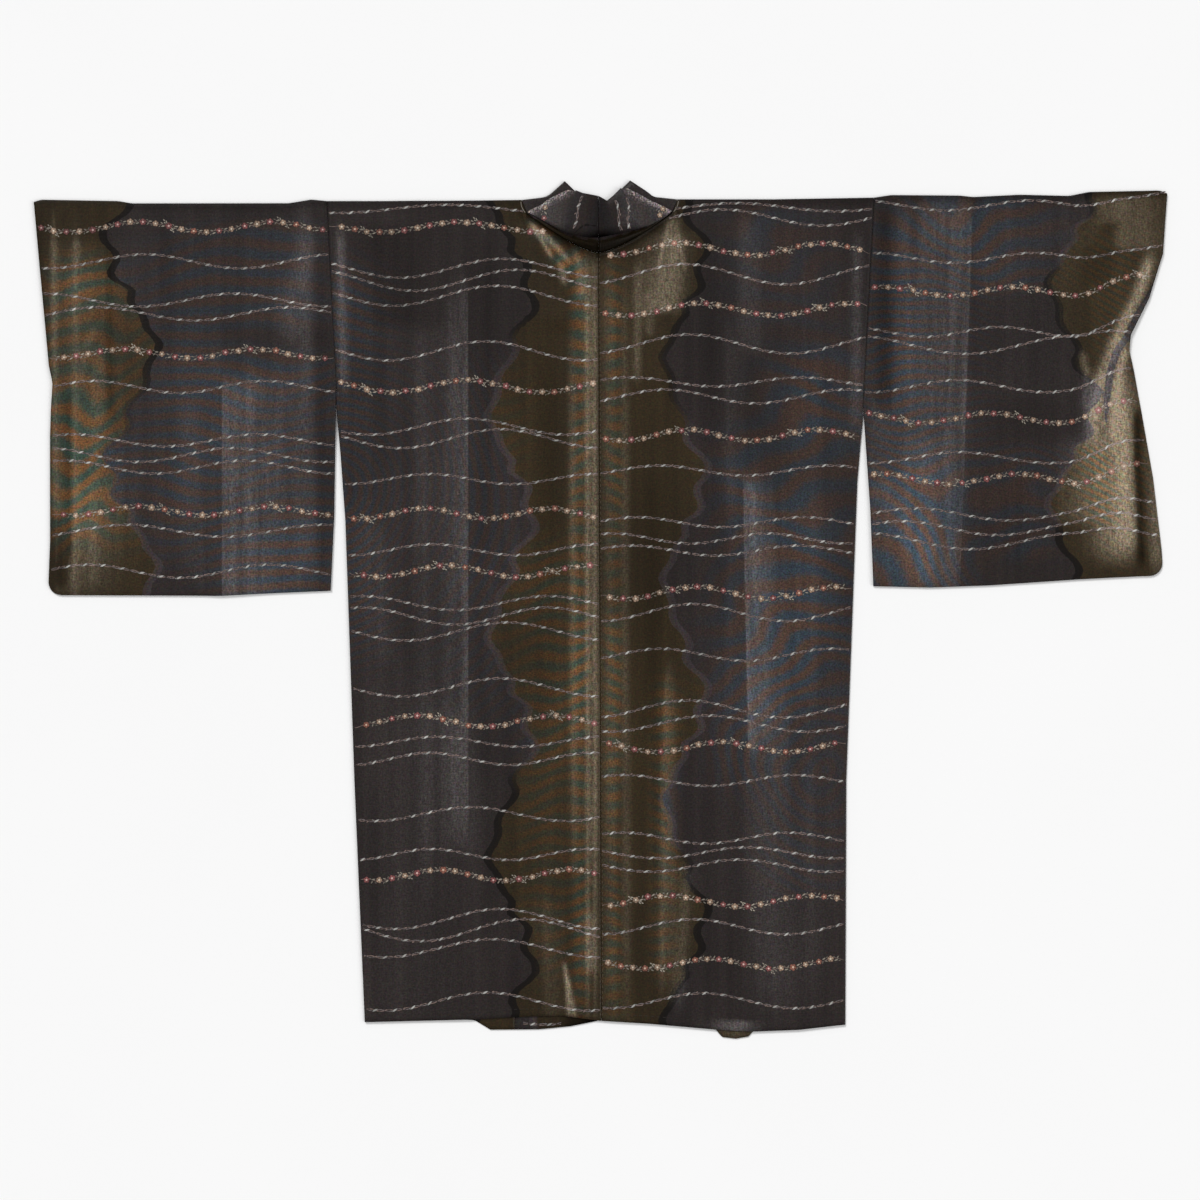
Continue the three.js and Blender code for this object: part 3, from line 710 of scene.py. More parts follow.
def rounded(x, y, corner_x, corner_y):
    """Points near a sleeve's lower corner, drawn in to a quarter of a circle."""
    a = np.clip(1 - (corner_x - x) / CORNER_RADIUS, 0, None)
    b = np.clip(1 - (y - corner_y) / CORNER_RADIUS, 0, None)
    reach = np.hypot(a, b)
    draw = np.where(reach > 0, np.maximum(a, b) / np.maximum(reach, 1e-9), 1)
    in_corner = (a > 0) & (b > 0)
    new_x = corner_x - CORNER_RADIUS * (1 - a * draw)
    new_y = corner_y + CORNER_RADIUS * (1 - b * draw)
    return np.where(in_corner, new_x, x), np.where(in_corner, new_y, y)


def sleeve_grid(name, v):
    side = SIDES[name]
    arm, cuff = side["sleeve_arm"], side["sleeve_cuff"]
    arm_x = at(arm, lerp(arm[0][0], arm[-1][0], v)) + SEAM_GAP / 2
    cuff_x = at(cuff, lerp(cuff[0][0], cuff[-1][0], v))
    edge = 1 - CORNER_REACH / SLEEVE_WIDTH
    corner = lerp(edge, 1, steps(CORNER_RADIUS, CORNER_CELL))
    u = np.concatenate([steps(SLEEVE_INNER_WIDTH, CELL)[:-1] * edge, corner])[None, :]
    x = lerp(arm_x[:, None], cuff_x[:, None], u)
    y = lerp(at(side["sleeve_top"], x), at(side["sleeve_bottom"], x), v[:, None])
    return rounded(x, y, cuff_x[:, None], at(side["sleeve_bottom"], cuff_x)[:, None])


def sleeve_grids(name):
    side = SIDES[name]
    arm = side["sleeve_arm"]
    height = arm[0][0] - arm[-1][0]
    edge = 1 - CORNER_REACH / height
    v = steps(height, LONG_CELL, (arm[0][0] - side["armpit_y"]) / height)
    v = np.concatenate([v[v < edge - 0.004], lerp(edge, 1, steps(CORNER_RADIUS, CORNER_CELL))])
    x, y = sleeve_grid(name, v)
    upper, under = xyz(x, y, sleeve_z(name, x, y)), xyz(x, y, UNDER_Z)
    fold = roll(upper[0], under[0], facing(0, 1))
    bottom = roll(upper[-1], under[-1], side_of(upper[-1], 1))
    sewn = upper[:, -1, 1] <= side["cuff_end_y"]
    bulge = side_of(upper[sewn, -1], -1) * smooth((side["cuff_end_y"] - upper[sewn, -1, 1:2]) / 35)
    wrist = roll(upper[sewn, -1], under[sewn, -1], bulge)
    wrist[:, -1] = bottom[:, -1]
    return [
        (upper, UPPER),
        (under[:, ::-1], UNDER),
        (fold[:, ::-1], None),
        (bottom, None),
        (wrist[:, ::-1], None),
    ]


def neck_seam(side, count):
    """Neckline seam on the collar's side, from the shoulder point to the centre back."""
    rows = [side["shoulder_point"]]
    for t in np.linspace(0, 1, 25):
        x = lerp(side["neck_point"][0], seam_x(side, NECK_LOW_Y), t)
        rows.append((x - NECK_GAP * (1 - t), neckline_y(side, x) + NECK_GAP * t))
    return points_along(rows, count)


def to_seam(side, rows):
    """The rows, with those on the centre line moved to the centre back seam."""
    return [(seam_x(side, NECK_LOW_Y), y) if x == 0 else (x, y) for x, y in rows]


# Columns of the collar's grids, and rows of its stand and of the turned-down part.
CREASE_COLUMNS = 12
PEAK_COLUMNS = 3
TURN_COLUMNS = 18
FLANK_COLUMNS = 15
STAND_ROWS = 13
TURN_ROWS = 15


def collar_grids(name):
    side = SIDES[name]
    crease = points_along(side["crease_top"], CREASE_COLUMNS)
    turn_top = points_along(to_seam(side, side["turn_top"]), TURN_COLUMNS)
    peak = points_along([crease[-1], turn_top[0]], PEAK_COLUMNS)[1:-1]
    tops = np.concatenate([crease, peak, turn_top])
    feet = neck_seam(side, len(tops) - 1)

    t = (1 - np.linspace(0, 1, STAND_ROWS)[:, None]) ** 1.4
    x, y = lerp(feet[:, 0], tops[:, 0], t), lerp(feet[:, 1], tops[:, 1], t)
    away = np.hypot(x - feet[:, 0], y - feet[:, 1]) / STAND_DIP
    stand = xyz(x, y, UPPER_Z + neck_lift(side, feet[:, 0]) * hill(away))

    v = steps(STRIP_LENGTH, STRIP_CELL)[:, None]
    hem_x = np.linspace(STRIP_HEM_X, STRIP_INNER_X, CREASE_COLUMNS + 1)
    strip_x = lerp(crease[:, 0], hem_x, v)
    strip_y = lerp(crease[:, 1], at(side["front_hem"], hem_x), v)
    strip = xyz(strip_x, strip_y, UNDER_Z)
    out = side_of(crease, 1)
    out[0] = facing(0, 1)
    shoulder = roll(stand[0, : CREASE_COLUMNS + 1], strip[0], out)

    flank = points_along(side["flank_top"], FLANK_COLUMNS)[:-1]
    edge = points_along(to_seam(side, side["turn_edge"]), FLANK_COLUMNS + TURN_COLUMNS)
    upper = np.concatenate([flank, turn_top])
    first = np.where(np.arange(len(upper)) >= FLANK_COLUMNS, TURN_STEP, FLANK_STEP)
    lift = FLANK_STEP + TURN_LIFT * smooth((side["neck_point"][0] - edge[:, 0]) / TURN_LIFT_REACH)
    t = np.linspace(0, 1, TURN_ROWS)[:, None]
    x, y = lerp(upper[:, 0], edge[:, 0], t), lerp(upper[:, 1], edge[:, 1], t)
    turned = xyz(x, y, UPPER_Z + lerp(first, lift, np.sqrt(t)))
    hinge = roll(turned[0, FLANK_COLUMNS:], stand[0, CREASE_COLUMNS + PEAK_COLUMNS :], facing(0, 1))
    return [
        (stand[:, ::-1], STAND),
        (strip, UNDER),
        (shoulder, None),
        (turned, TURNED),
        (hinge[:, ::-1], None),
    ]


# ---- Meshes ----


def placed(points, sign):
    """Metres in the scene from a side's own millimetres."""
    p = points * np.array([sign, 1, 1]) + np.array([SHIFT[0], SHIFT[1], 0])
    return p * MM


def welded(grids, sign):
    """Points, layers and faces of a piece's grids, with their common points made one."""
    points, layers, faces = [], [], []
    start = 0
    for grid, layer in grids:
        rows, columns = grid.shape[:2]
        points.append(grid.reshape(-1, 3))
        layers.append(np.full(rows * columns, -1.0 if layer is None else float(layer)))
        index = start + np.arange(rows * columns).reshape(rows, columns)
        quads = np.stack([index[:-1, :-1], index[1:, :-1], index[1:, 1:], index[:-1, 1:]], -1)
        faces.append(quads.reshape(-1, 4))
        start += rows * columns
    points, layers, faces = np.concatenate(points), np.concatenate(layers), np.concatenate(faces)
    spots = np.round(points * WELD_STEPS).astype(int)
    _, first, same = np.unique(spots, axis=0, return_index=True, return_inverse=True)
    layer = np.full(len(first), -1.0)
    np.maximum.at(layer, same.ravel(), layers)
    polygons = []
    for quad in same.ravel()[faces]:
        corners = [int(c) for i, c in enumerate(quad) if c != quad[i - 1]]
        if len(set(corners)) >= 3:
            polygons.append(corners if sign > 0 else corners[::-1])
    return points[first], layer, polygons


def mesh_object(name, points, polygons, material, sign=1):
    mesh = bpy.data.meshes.new(name)
    mesh.from_pydata(placed(points, sign).tolist(), [], polygons)
    mesh.materials.append(material)
    mesh.shade_smooth()
    mesh.update()
    piece = bpy.data.objects.new(name, mesh)
    bpy.context.scene.collection.objects.link(piece)
    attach(piece, "root")
    return piece


def set_values(piece, name, values):
    attribute = piece.data.attributes.new(name, "FLOAT", "POINT")
    attribute.data.foreach_set("value", np.asarray(values, np.float32))


def edge_offset(along):
    """Swing of the charted edge, on a smooth curve through its rows."""
    place = np.mod(along, EDGE_REPEAT)
    starts = np.array([row[0] for row in EDGE_CHART])
    swings = np.array([row[1] for row in EDGE_CHART])
    slopes = np.gradient(swings, starts)
    row = np.clip(np.searchsorted(starts, place, side="right") - 1, 0, len(starts) - 2)
    gap = starts[row + 1] - starts[row]
    t = (place - starts[row]) / gap
    bend = t * (1 - t) * gap * ((1 - t) * slopes[row] - t * slopes[row + 1])
    return lerp(swings[row], swings[row + 1], smooth(t)) + bend


def edge_distance(node, x, y):
    """Distance into the olive ground from its edge, positive towards the olive."""
    centre, swing, start, way = EDGE_PLACES[node]
    edge = centre + swing * edge_offset((start - y) * way)
    return edge - x if node.startswith("body") else x - edge


def crease_values(node, x, y):
    """Distance to the light side of a piece's pressed crease, and how strong its painted highlight is there.
    """
    x0, x1, top, foot, way, reach, strength = CREASES[node]
    t = (top - y) / (top - foot)
    away = (x - lerp(x0, x1, t)) * way
    fade = smooth(t / 0.12 + 0.5) * smooth((1 - t) / 0.12 + 0.5)
    return away, strength * fade * hill(np.maximum(away, 0) / reach)


COUNT_STEP = 2.0
COUNT_MARKS = np.arange(-600.0, 1201.0, COUNT_STEP)  # heights or distances that a piece can have


def counted(spacing, distance):
    """Count of bands up to each distance, from a table of their spacing."""
    return np.interp(distance, COUNT_MARKS, np.cumsum(COUNT_STEP / at(spacing, COUNT_MARKS)))


def water_phase(row, x, y):
    """Count of the watery bands at the points, which a row of WATER describes."""
    if "centre" in row:
        phase = counted(row["spacing"], np.hypot(x - row["centre"][0], y - row["centre"][1]))
    else:
        phase = x / row["across"] + counted(row["spacing"], y)
    for amount, length_x, length_y, shift in row["waves"]:
        phase = phase + amount * np.sin(2 * math.pi * (x / length_x + y / length_y) + shift)
        phase = phase + 0.3 * amount * np.sin(2 * math.pi * (x / length_y - y / length_x) + 2 * shift)
    if "swirl" in row:
        top, reach, from_x, spacing = row["swirl"]
        phase = phase + smooth((top - y) / reach) * (x - from_x) / spacing
    return phase


def painted_cloth_sheen(node, x, y):
    """Painted sheen of a piece at the points: painted highlight, minus for painted shade of folds."""
    return strips(PAINTED_SHEEN[node], x, y) + bent_strips(BENT_PAINTED_SHEEN[node], x, y)


EDGE_SHADE = 0.4  # painted shade along the folded edge at the shoulders
EDGE_SHADE_WIDTH = 6
NECK_SHADE = 0.75  # painted shade along the neckline
NECK_SHADE_WIDTH = 9
UNDER_PAINTED_SHEEN = 0.2  # share of the upper layer's painted sheen on the under one
UNDER_SHOT = 0.5  # the same for the shot colours


def figure_values(node, name, points, layer):
    """Per-point values that the silk's material reads."""
    x, y = points[:, 0], points[:, 1]
    under = (points[:, 2] < BETWEEN_Z) & (layer < UPPER)
    along = np.where(under, 2 * FOLD_Y - y, y)
    if node.startswith("collar"):
        return collar_values(name, x, y, layer)
    crease, crease_highlight = crease_values(node, x, y)
    side = SIDES[name]
    top_line = side["shoulder" if node.startswith("body") else "sleeve_top"]
    shade = EDGE_SHADE * hill((at(top_line, x) - y) / EDGE_SHADE_WIDTH)
    if node.startswith("body"):
        near_neck = hill(from_neckline(side, x, y) / NECK_SHADE_WIDTH)
        shade = np.maximum(shade, NECK_SHADE * near_neck)
    on_top = np.where(under, UNDER_PAINTED_SHEEN, 1.0)
    ground = edge_distance(node, x, along) + np.where(under & node.startswith("body"), UNDER_SHIFT, 0)
    in_olive, in_aubergine = (water_phase(WATER[node][kind], x, y) for kind in ("olive", "aubergine"))
    phase = np.where(ground > 0, in_olive, in_aubergine)
    if node in TURNED_UP:
        line, half = TURNED_UP[node]
        away, t = line_place(line, x, y)
        turned_up = 2.5 * (away - half * smooth((1.02 - t) / 0.4))
        ground = np.where(under, ground, np.minimum(ground, turned_up))
    return {
        "edge": ground,
        "band": at(BAND[node], along),
        "painted_sheen": painted_cloth_sheen(node, x, y) * on_top,
        "edge_highlight": 0 * x,
        "crease": crease,
        "crease_highlight": crease_highlight * np.where(under, 0, 1),
        "phase": phase,
        "shot": strips(SHOT[node], x, y) * np.where(under, UNDER_SHOT, 1),
        "shade": np.where(under, 0, shade),
    }


def line_place(rows, x, y):
    """Distance from each point to a bent line, and how far along it that is, from 0 to 1."""
    near, place, done = np.full(len(x), 999.0), 0 * x, 0.0
    for (ax, ay), (bx, by) in zip(rows[:-1], rows[1:]):
        length = math.hypot(bx - ax, by - ay)
        t = np.clip(((x - ax) * (bx - ax) + (y - ay) * (by - ay)) / length**2, 0, 1)
        away = np.hypot(x - lerp(ax, bx, t), y - lerp(ay, by, t))
        place = np.where(away < near, done + t * length, place)
        near = np.minimum(near, away)
        done += length
    return near, place / done


def bent_strips(rows, x, y):
    """Sum of a table of bent creases at the points."""
    total = 0 * x
    for line, half, strength in rows:
        away, t = line_place(line, x, y)
        fade = smooth(t / 0.1 + 0.3) * smooth((1 - t) / 0.15 + 0.2)
        total = total + strength * hill(away / half) * fade
    return total


def collar_values(name, x, y, layer):
    """Collar values: painted highlight on its turned-down part's edges; painted shade on it and the stand."""
    side = SIDES[name]
    turned = layer == TURNED
    stand = layer == STAND
    near, _ = line_place(side["flank_top"][:-1], x, y)
    edge_highlight = hill(near / 4.5) * smooth((x - 24) / 12)  # painted highlight along its upper edge
    lobe = smooth((x - (34 if name == "left" else 16)) / 20) * smooth((y - 436) / 16)  # painted highlight on its outer end
    below = at(side["turn_edge"], x) - y  # distance below its free edge
    # Painted shade on the turned-down part, near its free edge and along the centre line.
    low = smooth((below + 13) / 13) * smooth((52 - x) / 20)
    middle = hill(x / 20)
    arch = 447 - 6.5 * ((x - 13) / 14) ** 2  # middle of the dark band on its left half
    band_line = np.where(turned & (name == "left") & (x < 34), 3.2 * (y - arch), -60)
    # The stand shows as a crescent below the free edge, with painted shadow that gets darker away from that
    # edge.
    in_crescent = smooth((below + 2) / 3) * smooth((80 - x) / 6)
    deep = lerp(0.3, 0.86, smooth(below / 10))
    return {
        "edge": np.where(turned, -np.abs(band_line) - 0.5, 12 * in_crescent - 6),
        "band": np.where(turned, smooth((34 - x) / 8), 0),
        "painted_sheen": np.where(turned, 0.8 * edge_highlight + 0.35 * lobe, 0.08 * (1 - in_crescent)),
        "edge_highlight": np.where(turned, edge_highlight, 0),
        "crease": np.full(len(x), -50.0),
        "crease_highlight": 0 * x,
        "phase": (x + 0.4 * y) / 30,
        "shot": np.where(turned, 0.12, 0.0),
        "shade": np.where(stand, deep * in_crescent, 0.5 * middle + 0.5 * low),
    }


# ---- Garlands: small raised figures, joined into one mesh for each layer of a piece ----


class Figures:
    """Flat coloured shapes in a side's own millimetres."""

    def __init__(self, height, lift_by=1.0, painted_sheen=None):
        self.height = height  # function of (x, y) giving z
        self.lift_by = lift_by  # minus on the under side
        self.painted_sheen = painted_sheen  # function of (x, y) giving the painted sheen of the cloth there
        self.points, self.polygons, self.tints = [], [], []

    def add(self, x, y, polygons, tints, lift=0.0):
        start = len(self.points)
        x, y = np.asarray(x, float), np.asarray(y, float)
        z = self.height(x, y) + lift * self.lift_by
        # The cloth's painted sheen also falls on the threads: painted shade darkens them, painted highlight
        # lightens them.
        if self.painted_sheen:
            painted_sheen = self.painted_sheen(x, y)[:, None]
            shaded = np.array(tints) * (1 + 0.9 * np.clip(painted_sheen, -0.4, 0.3))
            own_hue = shaded / shaded.max(1, keepdims=True) * LIT_THREAD[0]
            bright = lerp(LIT_THREAD, own_hue, OWN_HUE)
            tints = lerp(shaded, bright, LIT_SHARE * np.clip(painted_sheen - 0.3, 0, 1))
        self.points.extend(zip(x, y, z))
        self.polygons.extend([[start + k for k in polygon] for polygon in polygons])
        self.tints.extend(tints)

    def fan(self, x, y, outline, tint, edge, lift):
        """A small round shape from its middle to its outline, with a tint for each."""
        count = len(outline)
        px = [x + a for a, _ in outline] + [x]
        py = [y + b for _, b in outline] + [y]
        faces = [[k, (k + 1) % count, count] for k in range(count)]
        self.add(px, py, faces, [edge] * count + [tint], lift)

    def leaf(self, x, y, angle, length, width, tint):
        """A pointed oval, lighter along its middle."""
        c, s = math.cos(angle), math.sin(angle)
        oval = [(-0.5, 0), (-0.2, -0.5), (0.2, -0.45), (0.5, 0), (0.2, 0.5), (-0.2, 0.45)]
        outline = [(a * length * c - b * width * s, a * length * s + b * width * c) for a, b in oval]
        self.fan(x, y, outline, tint, dim(tint, 0.6), 0.03)

    def flower(self, x, y, turn, radius, thread, rng):
        """Five round petals about a raised heart."""

        def ring(size, start):
            return [(size * math.cos(a), size * math.sin(a)) for a in np.arange(6) * math.pi / 3 + start]

        self.fan(x, y, ring(0.8 * radius, turn), thread["rim"], dim(thread["rim"], 0.8), 0.02)
        for k in range(5):
            angle = turn + 2 * math.pi * k / 5
            shade = 0.7 + 0.6 * rng.random()
            px = x + 0.56 * radius * math.cos(angle)
            py = y + 0.56 * radius * math.sin(angle)
            petal = ring(radius * (0.44 + 0.08 * rng.random()), angle)
            self.fan(px, py, petal, dim(thread["petal"], shade), dim(thread["rim"], shade), 0.07)
        heart = thread["heart"]
        self.fan(x, y, ring(0.36 * radius, turn), heart, dim(heart, 0.55), 0.12)

    def thread(self, x, y, width, tints):
        """A narrow ribbon along a line of points."""
        x, y = np.asarray(x), np.asarray(y)
        dx, dy = np.gradient(x), np.gradient(y)
        size = np.hypot(dx, dy)
        nx, ny = -dy / size * width / 2, dx / size * width / 2
        count = len(x)
        polygons = [[k, k + 1, count + k + 1, count + k] for k in range(count - 1)]
        self.add([*(x - nx), *(x + nx)], [*(y - ny), *(y + ny)], polygons, [*tints, *tints])

    def dashes(self, x, y, width, tint):
        """Short stitches along a line: every other stretch between its points."""
        for k in range(0, len(x) - 1, 2):
            self.thread(x[k : k + 2], y[k : k + 2], width, [tint, tint])


# Thread colours, as seen in even light.
ROSE = {"rim": (0.1, 0.03, 0.03), "petal": (0.23, 0.075, 0.07), "heart": (0.7, 0.45, 0.41)}
RUST = {"rim": (0.11, 0.04, 0.028), "petal": (0.26, 0.105, 0.07), "heart": (0.7, 0.48, 0.36)}
CREAM = {"rim": (0.14, 0.085, 0.06), "petal": (0.36, 0.255, 0.175), "heart": (0.7, 0.59, 0.47)}
CREAM_LEAF = (0.3, 0.265, 0.215)
PALE_LEAF = (0.42, 0.415, 0.39)
VINE = (0.108, 0.088, 0.088)
VINE_WARM = (0.132, 0.092, 0.08)
SEAM_THREAD = (0.075, 0.055, 0.034)
DARK_THREAD = (0.028, 0.023, 0.02)
LIT_THREAD = np.array([0.68, 0.58, 0.52])  # painted highlight that all of them turn to where the cloth shines
LIT_SHARE = 0.36  # how far they turn to it in full painted sheen
OWN_HUE = 0.6  # share of its own hue that a thread keeps then

# Flowers of the turned-down collar.
COLLAR_FLOWERS = {
    # x, y, thread and how far the leaf beside it lies below
    "left": [(64.5, 467.5, CREAM, 7.0), (65.5, 455, ROSE, -6.2)],
    "right": [(72.5, 466, CREAM, 5.5), (69, 458.5, CREAM, -4.5)],
}


def dim(tint, factor):
    return tuple(factor * t for t in tint)


def spot(line, s, along=0.0, across=0.0):
    """A place by a garland and the angle at which it runs there."""
    x, y, nx, ny = (float(q[0]) for q in line(np.array([s])))
    tangent = math.atan2(-nx, ny)
    return x + along * ny + across * nx, y - along * nx + across * ny, tangent


def vine_row(figures, line, start, end, slant, rng):
    """Two twisted threads with a slanting pale leaf at each few turns."""
    count = max(4, int((end - start) / VINE_CELL))
    s = np.linspace(start, end, count)
    x, y, nx, ny = line(s)
    for side in (1, -1):
        swing = side * np.sin(math.pi * s / TWIST + 0.4 * np.sin(s / 31))
        mottle = 0.3 + 1.3 * rng.random(count)
        tints = [dim(VINE if side > 0 else VINE_WARM, f) for f in mottle]
        figures.thread(x + nx * swing, y + ny * swing, VINE_WIDTH, tints)
    place = start + DASH_STEP * (0.2 + 0.6 * rng.random())
    while place < end - 3:
        px, py, tangent = spot(line, place)
        tint = dim(PALE_LEAF, 0.7 + 0.5 * rng.random())
        angle = tangent + slant * math.radians(22 + 12 * rng.random())
        figures.leaf(px, py, angle, *LEAF_SIZE, tint)
        side = slant if rng.random() > 0.35 else -slant
        if place > end - DASH_STEP * 0.7:
            break
        px, py, tangent = spot(line, place, 3.9, 0.9 * side)
        figures.leaf(px, py, tangent - slant * math.radians(28), *LEAFLET_SIZE, dim(tint, 0.45))
        px, py, tangent = spot(line, place, DASH_STEP / 2, -0.9 * side)
        figures.leaf(px, py, angle, *LEAFLET_SIZE, dim(VINE_WARM, 1.7))
        place += DASH_STEP * (0.9 + 0.2 * rng.random())


# Leaves after each flower: how far along the stem and beside it, their turn, length and lightness.
FLOWER_LEAVES = [
    (6.4, 1.5, 0.1, 5.0, 1.0),
    (8.6, -1.7, -0.7, 4.2, 0.75),
    (4.2, -2.6, 0.5, 3.0, 0.55),
    (10.2, 2.6, 0.6, 3.2, 0.6),
]


def flower_row(figures, line, start, end, slant, rng):
    """Rose and cream flowers by turns, with leaves over and under the stem between them."""
    count = max(4, int((end - start) / STEM_CELL))
    s = np.linspace(start, end, count)
    x, y, nx, ny = line(s)
    swing = 1.5 * np.sin(math.pi * s / FLOWER_STEP)
    mottle = 0.5 + rng.random(count)
    figures.thread(x + nx * swing, y + ny * swing, STEM_WIDTH, [dim(VINE_WARM, f) for f in mottle])
    number = int(rng.integers(0, SPRAY_EVERY))
    place = start + FLOWER_STEP * (0.3 + 0.4 * rng.random())
    while place < end - 4:
        px, py, tangent = spot(line, place, 0, 1.4 * (rng.random() - 0.5))
        radius = FLOWER_RADIUS * (0.9 + 0.2 * rng.random())
        thread = CREAM if number % 2 == 0 else ROSE if rng.random() < 0.75 else RUST
        figures.flower(px, py, WHOLE_TURN * rng.random(), radius, thread, rng)
        shade = 0.75 + 0.5 * rng.random()
        if number % SPRAY_EVERY == 4 and start + 12 < place < end - 12:
            spray(figures, px, py, tangent + slant * math.radians(-38), dim(CREAM_LEAF, 1.1 * shade))
        side = slant if number % 2 else -slant
        if place > end - FLOWER_STEP:
            break
        lean = tangent + slant * math.radians(16)
        for reach, off, turn, size, share in FLOWER_LEAVES:
            px, py, _ = spot(line, place, reach, off * side)
            figures.leaf(px, py, lean + turn * side, size, 0.34 * size, dim(CREAM_LEAF, share * shade))
        place += FLOWER_STEP * (0.94 + 0.12 * rng.random())
        number += 1


def spray(figures, x, y, angle, tint):
    """Two leaf sprays at either side of a flower."""
    for way in (1, -1):
        for reach, off, size in ((5.2, 0.9, 4.6), (5.6, -1.1, 3.8), (8.6, 0, 3.2)):
            px = x + way * reach * math.cos(angle) - off * math.sin(angle)
            py = y + way * reach * math.sin(angle) + off * math.cos(angle)
            figures.leaf(px, py, angle + 0.3 * off, size, 1.35, tint)


def crossing_line(row, node, shift=0.0):
    """Line of a garland across a piece, as a function of x."""
    _, height, rise, wave, low_x = row
    climb = RISE_TO_CUFF if node == "sleeve_right" else 0

    def line(x):
        phase = 2 * math.pi * (x - low_x) / wave
        y = height + shift - rise * np.cos(phase)
        slope = rise * 2 * math.pi / wave * np.sin(phase)
        if climb:
            t = (x - RISE_X) / RISE_REACH
            y = y + climb * smooth(t)
            slope = slope + climb * (smooth(t + 0.01) - smooth(t - 0.01)) / (0.02 * RISE_REACH)
        size = np.sqrt(1 + slope * slope)
        return x, y, -slope / size, 1 / size

    return line


def meets(line, edge):
    """Place where a garland meets an edge that slants."""
    x = edge[0][1]
    for _ in range(6):
        x = float(at(edge, line(x)[1]))
    return x


def garland_ends(node, side, line, height, flat):
    """Where a garland starts and ends on a piece: at its seams, and clear of the neckline."""
    if not node.startswith("body"):
        return meets(line, side["sleeve_arm"]) + 1.5, meets(line, side["sleeve_cuff"]) - 1.8
    outer = meets(line, side["body_edge"]) - 1.5
    if flat:
        return front_edge_x(side, height) + 1.5, outer
    x = np.linspace(float(seam_x(side, height)) + 1.2, side["neck_point"][0] + 8, 200)
    open_x = np.minimum(x, side["neck_point"][0])
    covered = np.where(x > side["neck_point"][0] + 4, 999, neckline_y(side, open_x) - 4)
    return float(x[np.argmax(line(x)[1] < covered)]), outer


def garlands(node, name, material):
    """Figures of both layers of a body or sleeve piece."""
    side = SIDES[name]
    rng = np.random.default_rng(sum(ord(c) for c in node))
    surface = back_z if node.startswith("body") else sleeve_z
    face = CLOTH / 2 + RAISED
    top = Figures(
        lambda x, y: surface(name, x, y) + face,
        painted_sheen=lambda x, y: painted_cloth_sheen(node, x, y),
    )
    below = UNDER_Z - CLOTH / 2 - UNDER_RAISED
    ground = Figures(lambda x, y: np.full(np.shape(x), below), UNDER_LIFT)
    for row in GARLANDS[node]:
        make = vine_row if row[0] == "vine" else flower_row
        for figures, shift in ((top, 0.0), (ground, UNDER_ROW_SHIFT)):
            if shift and row[1] < LOWEST_UNDER_ROW and not node.startswith("body"):
                continue
            line = crossing_line(row, node, shift)
            start, end = garland_ends(node, side, line, row[1] + shift, shift != 0)
            make(figures, line, start, end, side["sign"], rng)
    if node.startswith("body"):
        seam_stitches(top, side)
    pieces = []
    for label, figures, way in (("", top, 1), ("_under", ground, -1)):
        pieces.append(figure_object(f"garland{label}_{node}", figures, side["sign"], way, material))
    return pieces


def seam_stitches(figures, side):
    """Small stitches beside the centre back seam and along the hem."""
    y = np.arange(NECK_LOW_Y - 6, side["back_hem"][0][1] + 4, -3.2)
    figures.dashes(seam_x(side, y) + 1.3, y, 0.55, SEAM_THREAD)
    x = np.arange(float(seam_x(side, -470)) + 3, side["body_edge"][-1][1] - 3, 3.4)
    figures.dashes(x, at(side["back_hem"], x) + 9, 0.4, DARK_THREAD)
    (shoulder_x, shoulder_y), (neck_x, neck_y) = side["shoulder_point"], side["neck_point"]
    t = np.linspace(0.06, 0.94, 12)
    bend = 1.6 * np.sin(math.pi * t)
    x = lerp(shoulder_x, neck_x, t) + 1.5 + bend
    figures.thread(x, lerp(shoulder_y, neck_y, t), 0.8, [dim(CREAM_LEAF, 0.6)] * len(t))


def figure_object(name, figures, sign, way, material):
    polygons = [p if sign * way > 0 else p[::-1] for p in figures.polygons]
    piece = mesh_object(name, np.array(figures.points), polygons, material, sign)
    set_tints(piece, figures.tints)
    return piece


def set_tints(piece, tints):
    attribute = piece.data.color_attributes.new("tint", "FLOAT_COLOR", "POINT")
    colours = np.concatenate([np.array(tints, np.float32), np.ones((len(tints), 1), np.float32)], 1)
    attribute.data.foreach_set("color", colours.ravel())


def collar_garlands(name, grids, material):
    """Figures of the turned-down part, which is cut along the cloth, so that they run across it."""
    side = SIDES[name]
    rng = np.random.default_rng(7 if name == "left" else 8)
    turned = grids[3][0]
    flat_x, flat_y, flat_z = (turned[..., k].ravel() for k in range(3))

    def height(x, y):
        x, y = np.atleast_1d(x), np.atleast_1d(y)
        near = (flat_x[None] - x[:, None]) ** 2 + (flat_y[None] - y[:, None]) ** 2 + 0.05
        weight = near**-2
        return (weight * flat_z[None]).sum(1) / weight.sum(1) + CLOTH / 2 + RAISED + 0.1

    figures = Figures(height)
    for x0, y0, x1, y1 in COLLAR_VINES[name]:
        length = math.hypot(x1 - x0, y1 - y0)

        def line(s, x0=x0, y0=y0, x1=x1, y1=y1, length=length):
            t = s / length
            nx, ny = -(y1 - y0) / length, (x1 - x0) / length
            bend = 1.5 * np.sin(2 * math.pi * t)
            return lerp(x0, x1, t) + nx * bend, lerp(y0, y1, t) + ny * bend, nx + 0 * t, ny + 0 * t

        vine_row(figures, line, 1.5, length - 2.5, -side["sign"], rng)
    for x, y, thread, below in COLLAR_FLOWERS[name]:
        figures.flower(x, y, WHOLE_TURN * rng.random(), 3.3, thread, rng)
        figures.leaf(x - 1.2, y - below, 1.2, 3.8, 1.4, CREAM_LEAF)
        figures.leaf(x + 2.8, y - 0.7 * below, 2.0, 3.0, 1.2, dim(CREAM_LEAF, 0.7))
    return figure_object(f"garland_collar_{name}", figures, side["sign"], 1, material)


